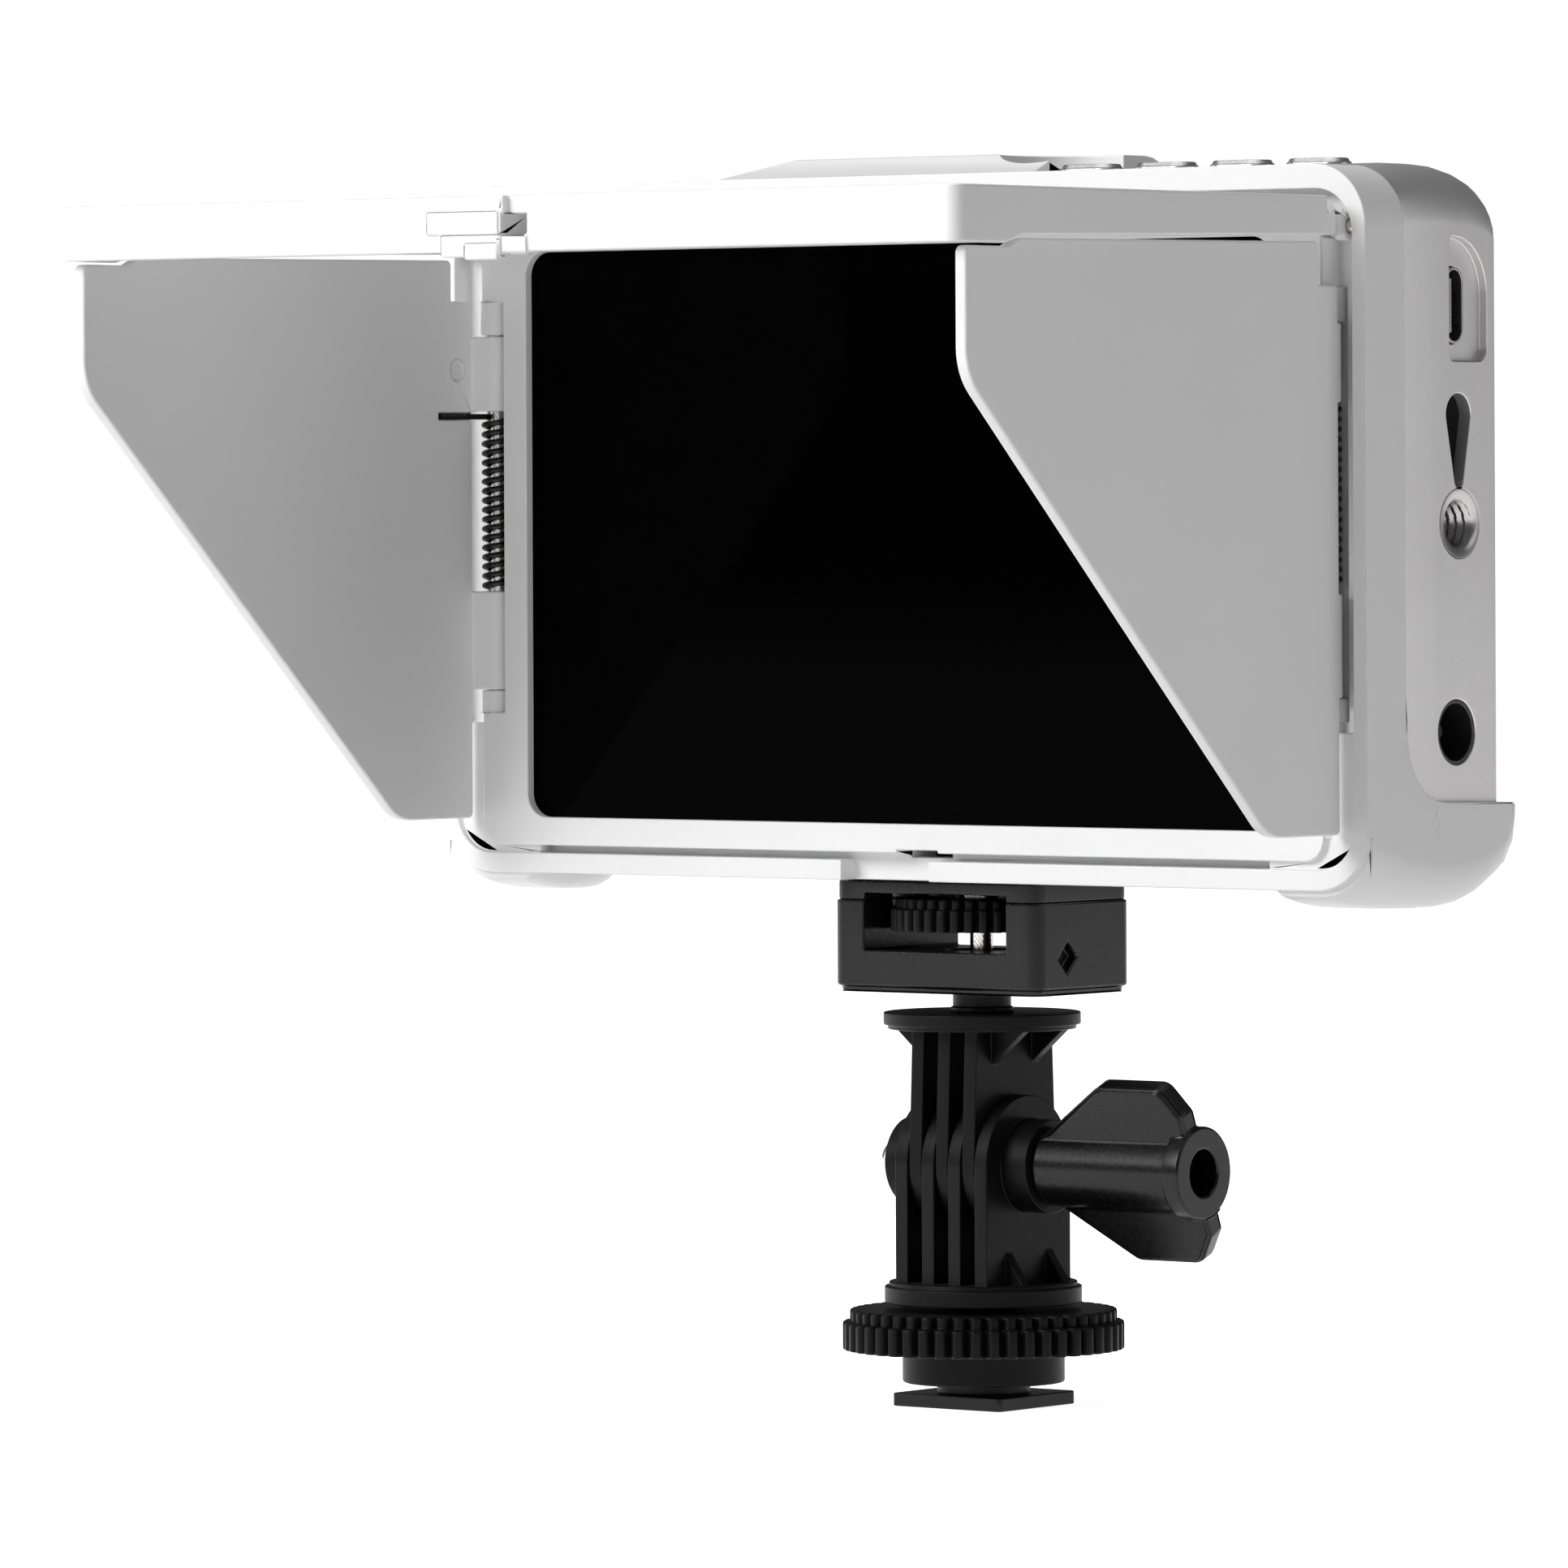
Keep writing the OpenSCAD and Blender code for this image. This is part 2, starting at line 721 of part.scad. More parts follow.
// Space between two heights over the width 2 * side
module band(side, low, high, r) {
    translate([0, (low + high) / 2]) card(2 * side, high - low, r);
}

// Silver body, grown by g: its back edges bend far more at the top and the bottom
module shell_body(g = 0) {
    hull() {
        slab_y(mon_front, mon_front + 0.02) mon_outline(g - front_draft, $fn = 32);
        slab_y(mon_front + front_draft_d, mon_front + front_draft_d + 0.02) mon_outline(g, $fn = 32);
        for (w = [0, 20, 40, 55, 70, 80, 90]) {
            y = mon_back - back_round_y * (1 - sin(w));
            slab_y(y + g - 0.02, y + g)
                mon_outline(g, bend(y, mon_back - side_round, side_round, side_round),
                    back_round_z * (1 - cos(w)), $fn = 32);
        }
    }
}

module usb_outline(g) {
    translate([port_y, usb_z]) card(usb_w + 2 * g, usb_h + 2 * g, usb_w / 2 + g - 0.01);
}

// Shallow recess round the port, rounder at its top
module usb_recess() {
    polygon(rounded([
        [port_y - 2.2, usb_z - 7.4, 1], [port_y + 6.5, usb_z - 7.4, 1.8],
        [port_y + 6.5, usb_z + 9.1, 7.5], [port_y - 2.2, usb_z + 9.1, 1]
    ]));
}

// Teardrop slot, wide at its top
module teardrop() {
    polygon([
        [port_y - 3.0, slot_top_z - 0.5], [port_y + 2.6, slot_top_z - 0.5],
        [port_y + 0.9, slot_top_z - 8.9], [port_y - 1.1, slot_top_z - 8.9]
    ]);
    translate([port_y - 0.2, slot_top_z]) circle(2.85);
    translate([port_y - 0.1, slot_top_z - 8.7]) circle(1.0);
}

module button_holes() {
    for (i = [0 : 3])
        translate([button_x + i * button_pitch, button_y, inner_top - cut])
            linear_extrude(shell_wall + 2 * cut)
                card(button_w + 2 * button_gap, button_d + 2 * button_gap,
                    button_d / 2 + button_gap - 0.01);
}

module vent_slots() {
    for (s = [-1, 1], i = [0 : 7])
        translate([s * (bat_side + 18), bat_mid_z - 14 + i * 4])
            card(22, 1.6, 0.79);
}

module rear_shell() color("#b9b9bb") difference() {
    union() {
        difference() {
            shell_body();
            slab_y(mon_front - cut, inner_back - 4.5)
                band(inner_side, inner_bottom, inner_top, mon_r - shell_wall);
            slab_y(mon_front, inner_back)
                band(inner_side, inner_bottom + 1.6, inner_top - 1.6, mon_r - shell_wall);
        }
        block([inner_side - 0.9, port_y - 4.5, usb_z - 9], [inner_side + 0.5, inner_back + 0.5, usb_z + 10.5]);
        for (x = [-post_x, post_x], z = [post_low_z, post_high_z])
            bar_y(post_out_r, board_back, inner_back + 0.5, x, z);
        bar_x(insert_r + 1.6, mon_side - insert_len + 0.5, mon_side - 0.5, port_y, insert_z);
        bar_z(insert_r + 1.6, mon_z + 0.5, mon_z + insert_len - 0.5);
        for (x = [button_x, button_x + 3 * button_pitch])
            bar_z(1.5, switch_board_z + switch_board_t, inner_top + 0.5, x, switch_post_y);
        block([-2, inner_back - 3, latch_z - 10], [2, inner_back + 0.5, latch_z - 8.5]);
    }
    bar_x(insert_r + snug, mon_side - insert_len - cut, mon_side + cut, port_y, insert_z);
    bar_z(insert_r + snug, mon_z - cut, mon_z + insert_len + cut);
    slab_x(mon_side - 1.2, mon_side + cut) usb_recess();
    slab_x(inner_side - cut, mon_side + cut) {
        usb_outline(0.05);
        teardrop();
    }
    bar_x(jack_r + 0.35, inner_side - cut, mon_side + cut, jack_y, jack_z);
    slab_x(-mon_side - cut, -inner_side + cut) {
        translate([port_y, hdmi_z]) card(hdmi_w, hdmi_h, 1);
        translate([port_y, phone_z]) circle(phone_r + 1.4);
    }
    button_holes();
    slab_y(inner_back - cut, mon_back + cut) {
        vent_slots();
        for (s = [-1, 1]) translate([s * 10, bat_mid_z + 12]) circle(1.63);
        translate([0, bat_low_z + 14]) card(14, 6, 1);
        translate([0, latch_z]) card(latch_w + 1, latch_h + 2 * latch_travel + 1, 1);
    }
    for (x = [-post_x, post_x], z = [post_low_z, post_high_z]) {
        bar_y(1.03, board_back - cut, inner_back + 0.5, x, z);
    }
    rear_screw_places() bar_y(1.23, inner_back - cut, mon_back + cut, 0, 0);
    rear_screw_places() bar_y(2.3, mon_back - 1.2, mon_back + cut, 0, 0);
}

// Corners of the back where the screws that close the shell sit
module rear_screw_places() {
    for (x = [-1, 1] * (mon_side - 10), z = [mon_z + 33, mon_top - 10])
        translate([x, 0, z]) children();
}

module front_bezel() color("#101012") difference() {
    union() {
        slab_y(bezel_y, mon_front + 0.5) band(bezel_side, bezel_bottom, bezel_top, 2.2);
        slab_y(mon_front, mon_front + flange_t)
            band(inner_side - fit_gap, inner_bottom + fit_gap, inner_top - fit_gap,
                mon_r - shell_wall);
        rear_screw_places() bar_y(3, mon_front + 0.5, inner_back - fit_gap, 0, 0);
    }
    slab_y(bezel_y - cut, bezel_y + 2 * bezel_face)
        translate([0, screen_mid_z]) card(picture_w + 1, picture_h + 1, 1);
    slab_y(bezel_y + bezel_face, mon_front + flange_t + cut)
        band(bezel_side - bezel_wall, bezel_bottom + bezel_wall, bezel_top - bezel_wall, 1);
    rear_screw_places() bar_y(1.03, mon_front + 4, inner_back + cut, 0, 0);
}

module cover_glass() color("#050506") slab_y(glass_y, bezel_y)
    band(bezel_side - 0.1, bezel_bottom + 0.1, bezel_top - 0.1, 2.1);

module lcd_panel() color("#08080c") slab_y(lcd_y, lcd_y + panel_t)
    translate([0, screen_mid_z]) square([cell_w, cell_h], center = true);

module backlight() color("white") slab_y(light_y, light_y + light_t)
    translate([0, screen_mid_z]) square([cell_w - 1, cell_h - 1], center = true);

// Plate that presses the screen into the bezel and carries heat away
module chassis_plate() color("#8f9194")
    slab_y(plate_y, plate_y + plate_t)
        band(bezel_side - bezel_wall - fit_gap, bezel_bottom + bezel_wall + fit_gap,
            bezel_top - bezel_wall - fit_gap, 0.9);

module main_board() color("#1f5a38") difference() {
    union() {
        slab_y(board_front, board_back)
            translate([-board_side, board_bottom])
                square([2 * board_side, board_top - board_bottom]);
        for (x = [-38, -14, 14, 38])
            block([x, board_back - 0.1, bat_mid_z + 6], [x + 9, board_back + 1.4, bat_mid_z + 15]);
        block([-12, board_front - 1.3, mon_z + 26], [10, board_front + 0.1, mon_z + 48]);
        for (x = [-52, -46, 46])
            bar_y(2.6, board_back - 0.1, board_back + 5.5, x, mon_z + 20);
    }
    for (x = [-post_x, post_x], z = [post_low_z, post_high_z])
        bar_y(1.2, board_front - cut, board_back + cut, x, z);
    block([mon_side - 18, board_front - cut, jack_z - 5.2],
        [mon_side, board_back + cut, jack_z + 5.2]);
    block([mon_side - 9.05, board_front - cut, usb_z - usb_h / 2 - 0.1],
        [mon_side, board_back + cut, usb_z + usb_h / 2 + 0.1]);
    block([mon_side - insert_len - 0.5, board_front - cut, insert_z - insert_r - 2],
        [mon_side, board_back + cut, slot_top_z + 4]);
    block([-mon_side, board_front - cut, hdmi_z - hdmi_h / 2],
        [-mon_side + 12.2, board_back + cut, hdmi_z + hdmi_h / 2]);
    rear_screw_places() bar_y(3.4, board_front - cut, board_back + cut, 0, 0);
    slab_y(board_front - cut, board_back + cut)
        translate([-8, board_bottom - cut]) square([16, 6]);
    block([-mon_side, board_front - cut, phone_z - 3.4],
        [-mon_side + 16, board_back + cut, phone_z + 3.4]);
}

module board_screws() color("silver")
    for (x = [-post_x, post_x], z = [post_low_z, post_high_z]) {
        bar_y(2, board_front - 1.3, board_front - 0.02, x, z);
        bar_y(1, board_front - 0.1, board_back + 5, x, z);
    }

// Round ended metal shell with its tongue
module usb_c_port() color("silver") {
    difference() {
        slab_x(mon_side - 9, mon_side - 0.7) usb_outline(-0.05);
        slab_x(mon_side - 8.3, mon_side) usb_outline(-0.4);
    }
    block([mon_side - 8.5, port_y - 0.35, usb_z - 3.6], [mon_side - 1.4, port_y + 0.35, usb_z + 3.6]);
}

module dc_jack() color("#17171a") difference() {
    union() {
        block([mon_side - 16, jack_y - 4.8, jack_z - 5], [inner_side - 0.1, jack_y + 4.8, jack_z + 5]);
        bar_x(jack_r + 0.3, inner_side - 0.5, mon_side - 0.2, jack_y, jack_z);
    }
    difference() {
        bar_x(jack_r - 0.2, mon_side - 13, mon_side + cut, jack_y, jack_z);
        bar_x(1.05, mon_side - 14, mon_side - 3, jack_y, jack_z);
    }
}

module hdmi_port() color("silver") {
    difference() {
        slab_x(-mon_side + 0.2, -mon_side + 12)
            translate([port_y, hdmi_z]) card(hdmi_w - 0.2, hdmi_h - 0.2, 0.9);
        slab_x(-mon_side, -mon_side + 11)
            translate([port_y, hdmi_z]) card(hdmi_w - 1.2, hdmi_h - 1.2, 0.6);
    }
    block([-mon_side + 1.5, port_y - 0.6, hdmi_z - 5.4], [-mon_side + 11.2, port_y + 0.6, hdmi_z + 5.4]);
}

module headphone_jack() color("#17171a") difference() {
    union() {
        block([-inner_side + 0.1, port_y - 3, phone_z - 3], [-inner_side + 12, port_y + 3, phone_z + 3]);
        bar_x(phone_r + 1.3, -mon_side + 0.2, -inner_side + 0.5, port_y, phone_z);
    }
    bar_x(phone_r, -mon_side - cut, -inner_side + 11, port_y, phone_z);
}

// Threaded bush for a camera screw, its mouth at the origin and its length along +Z
module insert() {
    difference() {
        cylinder(r = insert_r, h = insert_len);
        translate([0, 0, -cut]) cylinder(r = thread_r, h = insert_len + 2 * cut);
        translate([0, 0, -0.01])
            cylinder(r1 = thread_r + insert_chamfer, r2 = thread_r, h = insert_chamfer);
    }
}

module side_insert() color("silver")
    translate([mon_side, port_y, insert_z]) rotate([0, -90, 0]) insert();

module bottom_insert() color("silver") translate([0, 0, mon_z]) insert();

module button(i) color("#c9c9cb")
    translate([button_x + i * button_pitch, button_y, 0]) {
        translate([0, 0, button_bottom])
            linear_extrude(button_flange_h)
                card(button_w + 2 * button_flange, button_d + 2 * button_flange, 2.4);
        translate([0, 0, button_bottom + 0.1])
            linear_extrude(mon_top + button_out - 0.5 - button_bottom - 0.1)
                card(button_w, button_d, button_d / 2 - 0.01);
        translate([0, 0, mon_top + button_out - 0.6])
            linear_extrude(0.6) card(button_w - 0.8, button_d - 0.8, button_d / 2 - 0.41);
    }

module button_1() button(0);
module button_2() button(1);
module button_3() button(2);
module button_4() button(3);

module button_board() color("#1f5a38") {
    translate([button_x - switch_board_end, button_y - 3.5, switch_board_z])
        cube([3 * button_pitch + 2 * switch_board_end, switch_board_d, switch_board_t]);
    for (i = [0 : 3])
        translate([button_x + i * button_pitch, button_y, switch_board_z]) {
            translate([-2.5, -2.5, 0.5]) cube([5, 5, switch_board_t + switch_h - 1.1]);
            cylinder(r = 1.2, h = switch_board_t + switch_h);
        }
}

module battery_plate() color("#17171a") difference() {
    slab_y(mon_back, rail_back)
        translate([0, bat_mid_z]) card(2 * bat_side, bat_h, 1.5);
    slab_y(plate_back, rail_back - rail_lip_t)
        translate([-rail_gap / 2, bat_low_z + 2]) square([rail_gap, bat_h]);
    slab_y(plate_back, rail_back + cut)
        translate([-rail_gap / 2 + rail_lip, bat_low_z + 2]) square([rail_gap - 2 * rail_lip, bat_h]);
    slab_y(mon_back - cut, plate_back + cut) {
        translate([0, latch_z])
            card(latch_w + 2 * slip, latch_h + 2 * latch_travel + 2 * slip, 0.8);
        translate([0, bat_low_z + 14]) card(12, 4.4, 0.6);
    }
    for (s = [-1, 1]) bar_y(1.63, mon_back - cut, plate_back + cut, s * 10, bat_mid_z + 12);
}

// Block of contacts that the battery slides onto
module battery_contacts() color("#c9a24b") {
    block([-5.8, inner_back + 0.5, bat_low_z + 12], [5.8, plate_back - 0.1, bat_low_z + 16]);
    for (x = [-4, 0, 4])
        block([x - 0.5, plate_back - 0.3, bat_low_z + 12.4], [x + 0.5, plate_back + 1.2, bat_low_z + 15.6]);
}

module battery_latch() color("#2a2a2c") {
    translate([0, 0, latch_travel]) {
        slab_y(inner_back - 1.5, plate_back + 1.1)
            translate([0, latch_z]) card(latch_w, latch_h, 0.8);
        slab_y(inner_back - 2.9, inner_back - 0.3)
            translate([0, latch_z]) card(latch_w + 4, latch_h + 3, 1);
    }
}

// Bias spring behind the latch, seated on a rib of the battery latch
module latch_spring() color("#6b6b6e") difference() {
    bar_z(1, latch_z - 8.5, latch_z + latch_travel - latch_h / 2 - 1.6, 0, inner_back - 1.6);
    bar_z(0.6, latch_z - 9, latch_z + latch_travel, 0, inner_back - 1.6);
}

module rear_screws() color("#3a3a3c")
    rear_screw_places() {
        bar_y(2.2, mon_back - 1.15, mon_back - 0.1, 0, 0);
        bar_y(1, mon_front + 6, mon_back - 1, 0, 0);
    }

// Sun hood

// Height of a claw's underside at depth y: it bulges under the frame and bends up at the back
function claw_low(y) = claw_bottom + bend(y, claw_back - claw_round_y, claw_round_y, claw_round_z)
    + bend(-y, -frame_front - 15.9, 15, 2.3);

// Claw at depth y from the front: [y, outer side, inner side, radius of the outer corner]
claw_steps = [
    [frame_front + 1, -0.5, 0, 8], [frame_front + 1.8, -0.44, -0.3, 7.9],
    [frame_front + 3.4, -0.36, 0, 7.6], [frame_front + 6.4, -0.25, 0, 7],
    [frame_front + 10.4, -0.14, 0.3, 6.4], [mon_front + 7, -0.04, 1.8, 6], [mon_front + 12, 0, 4, 6],
    [mon_front + 16, 0, 6, 6], [mon_front + 19, 0, 7.8, 6], [mon_back, -0.02, 9.2, 6],
    [claw_back - 2, -0.2, 10.4, 6], [claw_back - 0.9, -0.5, 11.3, 6], [claw_back - 0.02, -1.2, 12, 6]
];

// Hook round a lower corner of the monitor, one smooth bulge with a hollow top edge
module claw() intersection() {
    hull() for (step = claw_steps) {
        side = claw_side + step[1];
        slab_y(step[0], step[0] + 0.02, $fn = 32)
            polygon(rounded([
                [claw_in + step[2], claw_low(step[0]), 3.5], [side, claw_low(step[0]), step[3]],
                [side, claw_top, 0], [frame_side - 0.04, claw_high, 0],
                [claw_in + step[2], claw_high, 0]
            ]));
    }
    slab_x(claw_in - cut, claw_side + cut)
        polygon(rounded([
            [frame_front + 0.9, claw_bottom - cut, 0], [claw_back + 0.1, claw_bottom - cut, 0],
            [claw_back + 0.1, claw_top, 1.7], [mon_front + 0.1, claw_top + 0.7, 8],
            [mon_front + 0.1, claw_high + cut, 0], [frame_front + 0.9, claw_high + cut, 0]
        ]));
}

// Clip that hooks over the monitor's top edge
module clip() {
    intersection() {
        slab_y(frame_front - cut, clip_back + cut)
            polygon([
                [clip_left, mon_top - 9], [clip_left, frame_top - 0.1],
                [clip_left + 10, clip_top], [clip_right, clip_top], [clip_right, mon_top - 9]
            ]);
        slab_x(clip_left - cut, clip_right + cut)
            polygon(rounded([
                [mon_front - 7, frame_top - 1.5, 0], [mon_front - 7, frame_top, 0],
                [mon_front - 1, clip_top, 2], [clip_back, clip_top, 7],
                [clip_back, mon_top - 8.5, 1.5], [mon_back - 1, mon_top - 8.5, 0],
                [mon_back - 1, frame_top - 5, 0]
            ]));
    }
}

// Frame knuckle of a flap hinge, seated on the floor of its pocket
module knuckle(z, h) {
    bar_z(barrel_r, z, z + h, hinge_x, hinge_y);
    translate([hinge_x - barrel_r, hinge_y, z]) cube([2 * barrel_r, pocket_y - hinge_y + 0.5, h]);
}

// Round edge of the rim in line with the hinge, below and above its pocket
module column(z0, z1) bar_z(barrel_r - 0.15, z0, z1, hinge_x, hinge_y + 0.05);

module hood_frame() color("#f2f2f0") difference() {
    union() {
        difference() {
            slab_y(frame_front, frame_back)
                band(frame_side, frame_bottom, frame_top, mon_r + 0.2);
            slab_y(frame_front - cut, groove_floor) difference() {
                band(lip_side, lip_bottom, lip_top, lip_r);
                band(rim_side, rim_bottom, rim_top, 3);
            }
            both_sides()
                block([pocket_in, frame_front - cut, pocket_low], [pocket_out, pocket_y, pocket_high]);
        }
        both_sides() {
            knuckle(pocket_low, knuckle_h);
            knuckle(top_knuckle_z, top_knuckle_h);
            column(rim_bottom + 3, pocket_low);
            column(pocket_high, rim_top - 3);
            claw();
        }
        clip();
    }
    slab_y(frame_front - cut, frame_back)
        translate([0, window_mid_z]) card(window_w, window_h, 3.3);
    slab_y(room_front, frame_back + cut) band(room_side, room_bottom, room_top, 2.4);
    slab_y(frame_back, mon_front + front_draft_d) mon_outline(fit_gap);
    shell_body(fit_gap);
    both_sides() {
        bar_z(rod_r + snug, rod_low - 0.1, pocket_high + 0.1, hinge_x, hinge_y);
        bar_x(pin_r + snug, rim_side - 3.1, lip_side + 0.8, pivot_y, pivot_z);
    }
    translate([4.4, 0, rim_bottom - 0.15]) slab_y(frame_front - cut, frame_back + cut)
        square([6.9, 1.1], center = true);
    block([tongue_left - 0.2, frame_front - cut, lip_bottom - 3],
        [step_right + 0.4, groove_floor, lip_bottom + 0.8]);
    translate([button_x - 2, button_y - 3, frame_top + 0.3]) cylinder(r = scoop_r, h = 20);
    translate([button_x, button_y, mon_top - cut]) linear_extrude(20)
        card(button_w + 2 * scoop_gap, button_d + 2 * scoop_gap, button_d / 2 + scoop_gap - 0.01);
}

module hood_top() color("#f2f2f0") difference() {
    union() {
        difference() {
            translate([0, (top_front + top_back) / 2, skirt_low]) linear_extrude(skirt_h)
                card(2 * top_side, top_len, 1.9);
            block([-top_side + top_t, top_front + top_t, skirt_low - cut],
                [top_side - top_t, top_back + cut, top_under]);
            slab_x(-top_side - cut, top_side + cut)
                polygon([
                    [top_front + 10.1, skirt_low - cut], [top_front + 10.1, skirt_low],
                    [top_front + 13.9, skirt_low + flap_step], [top_back + cut, skirt_low + 2.2],
                    [top_back + cut, skirt_low - cut]
                ]);
        }
        both_sides() slab_x(top_side - top_t, top_side) {
            translate([pivot_y, pivot_z]) circle(ear_r);
            translate([top_back - 1, pivot_z - 1.1]) square([1 + pivot_y - top_back, 1.1 + ear_r - 0.1]);
        }
        latch();
    }
    both_sides() {
        bar_x(pin_r + run_gap, top_side - top_t - cut, top_side + cut, pivot_y, pivot_z);
        panel_corner();
    }
    block([tongue_right - 0.2, top_front - cut, skirt_low + 2.1],
        [step_right - 0.2, top_front + latch_hole_d, skirt_low + 4.9]);
    block([tongue_right + 0.2, top_front - cut, skirt_low + 4.8],
        [step_right - 0.2, top_front + latch_in, top_high + cut]);
}

// What is cut from a rear corner of the panel, so that it lifts into the groove's round corner
module panel_corner() {
    mid = [lip_side - lip_r, lip_top - lip_r - 0.3];
    slab_y(top_back - 3.2, top_back + 0.5) difference() {
        translate(mid) square(2 * lip_r);
        translate(mid) circle(top_corner_r);
    }
}

// Tongue on the front edge that snaps into the frame's lower lip
module latch() {
    block([tongue_left, top_front - 0.4, skirt_low - 0.6], [tongue_right, top_front + 1.6, skirt_low + 2.3]);
    block([tongue_left + 4.2, top_front - 0.7, skirt_low - 1], [tongue_right - 0.3, top_front + 0.5, skirt_low + 1.2]);
    block([tongue_right - 0.5, top_front - 0.2, skirt_low - 0.1], [step_right, top_front + 1.2, skirt_low + 2.1]);
    block([-10.8, top_front - 0.3, skirt_low + 2.3], [tongue_right - 0.6, top_front + 1, top_high - 2]);
    block([tongue_right - 1.4, top_front + 0.5, skirt_low + 1.2],
        [step_right + 1, top_front + latch_hole_d + 1.2, top_under + 0.3]);
}

module top_pins() color("silver")
    both_sides() bar_x(pin_r, rim_side - 3, lip_side + 0.7, pivot_y, pivot_z);

// Side view of a flap: [y, z, corner radius]
module flap_outline() {
    polygon(rounded([
        [flap_front, flap_top - flap_step - 0.6, 1], [flap_front + 9, flap_top - flap_step - 0.6, 0],
        [flap_front + 11.4, flap_top - 0.6, 0], [flap_back - 4.3, flap_top, 0.8],
        [flap_back - 4.3, pocket_high + 0.1, 0], [flap_back, pocket_high + 0.1, 0.4],
        [flap_back, flap_bottom, 0.8], [flap_back - flap_low_run, flap_bottom, 7],
        [flap_front, flap_top - flap_high_run, 8]
    ]));
}

// Right flap; the left one is its mirror image
module flap() {
    difference() {
        union() {
            slab_x(flap_in, flap_out) flap_outline();
            for (part = [[low_barrel_z, low_barrel_h], [top_barrel_z, top_barrel_h]]) {
                bar_z(barrel_r, part[0], part[0] + part[1], hinge_x, hinge_y);
                translate([0, 0, part[0]]) linear_extrude(part[1])
                    polygon([
                        [hinge_x, hinge_y - barrel_r], [flap_in, flap_back],
                        [flap_in, flap_back - 3], [flap_out, flap_back - 3],
                        [flap_out, flap_back + 0.5],
                        [hinge_x + barrel_r * cos(15), hinge_y + barrel_r * sin(15)],
                        [hinge_x, hinge_y]
                    ]);
            }
        }
        bar_z(rod_bore, pocket_low, pocket_high, hinge_x, hinge_y);
        bar_x(mark_r, flap_in - cut, flap_in + mark_d, mark_y, mark_z);
        block([flap_in - cut, leg_end - 0.5, leg_z - wire_r - slip],
            [leg_x + wire_r + 0.05, flap_back + cut, leg_z + wire_r + slip]);
    }
}

module right_flap() color("#f2f2f0") flap();
module left_flap() color("#f2f2f0") mirror([1, 0, 0]) flap();

module rod() bar_z(rod_r, rod_low, rod_high, hinge_x, hinge_y);
module right_hinge_rod() color("#d8d8d6") rod();
module left_hinge_rod() color("#d8d8d6") mirror([1, 0, 0]) rod();

// Centre line of a hinge spring: the curls, then the leg along the flap
rings_per_curl = 8;
wire_sides = 6;
spring_pitch = (spring_high - spring_low - 2 * wire_r) / spring_curls;
curl_path = [for (k = [0 : rings_per_curl * spring_curls])
    let (a = k * 360 / rings_per_curl)
    [
        hinge_x + spring_r * cos(a),
        hinge_y - spring_r * sin(a),
        spring_low + wire_r + k * spring_pitch / rings_per_curl
    ]];
leg_path = [
    [hinge_x + spring_r + 0.25, hinge_y - 1.1, leg_z], [leg_x, flap_back - 0.7, leg_z],
    [leg_x, leg_end, leg_z]
];
wire_path = concat(curl_path, leg_path);

function unit(v) = v / norm(v);
function wire_ring(path, i) =
    let (
        last = len(path) - 1,
        t = unit(path[min(i + 1, last)] - path[max(i - 1, 0)]),
        n = unit(cross([0, 0, 1], t)),
        b = cross(t, n)
    )
    [for (s = [0 : wire_sides - 1])
        path[i] + wire_r * (cos(s * 360 / wire_sides) * n + sin(s * 360 / wire_sides) * b)];

// Least distance between points of the wire that are half a curl or more apart
function wire_gap(path) = min([for (i = [0 : len(path) - 1])
    for (j = [i + rings_per_curl / 2 : 1 : len(path) - 1]) norm(path[i] - path[j])]) - 2 * wire_r;

module wire(path) {
    s = wire_sides;
    n = len(path);
    points = [for (i = [0 : n - 1]) each wire_ring(path, i)];
    sides = [for (i = [0 : n - 2], k = [0 : s - 1])
        let (
            a = i * s + k,
            b = i * s + (k + 1) % s
        )
        each [[a, a + s, b + s], [a, b + s, b]]];
    start_cap = [for (k = [1 : s - 2]) [0, k, k + 1]];
    end_cap = [for (k = [1 : s - 2]) [(n - 1) * s, (n - 1) * s + k + 1, (n - 1) * s + k]];
    polyhedron(points, concat(sides, start_cap, end_cap));
}

echo(spring_least_gap = wire_gap(wire_path));

module right_spring() color("#141416") wire(wire_path);
module left_spring() color("#141416") mirror([1, 0, 0]) wire(wire_path);

shoe_foot();
lock_wheel();
lower_clevis();
axle_nut();
axle_bolt();
wing_knob();
upper_clevis();
swivel_stem();
swivel_screw();
block_body();
block_cap();
block_screws();
rubber_pad();
thumbwheel();
mount_screw();
rear_shell();
front_bezel();
cover_glass();
lcd_panel();
backlight();
chassis_plate();
main_board();
board_screws();
usb_c_port();
dc_jack();
hdmi_port();
headphone_jack();
side_insert();
bottom_insert();
button_1();
button_2();
button_3();
button_4();
button_board();
battery_plate();
battery_contacts();
battery_latch();
latch_spring();
rear_screws();
hood_frame();
hood_top();
top_pins();
left_flap();
right_flap();
left_hinge_rod();
right_hinge_rod();
left_spring();
right_spring();
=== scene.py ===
"""Camera field monitor with a folding sun hood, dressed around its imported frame."""

import json
import math

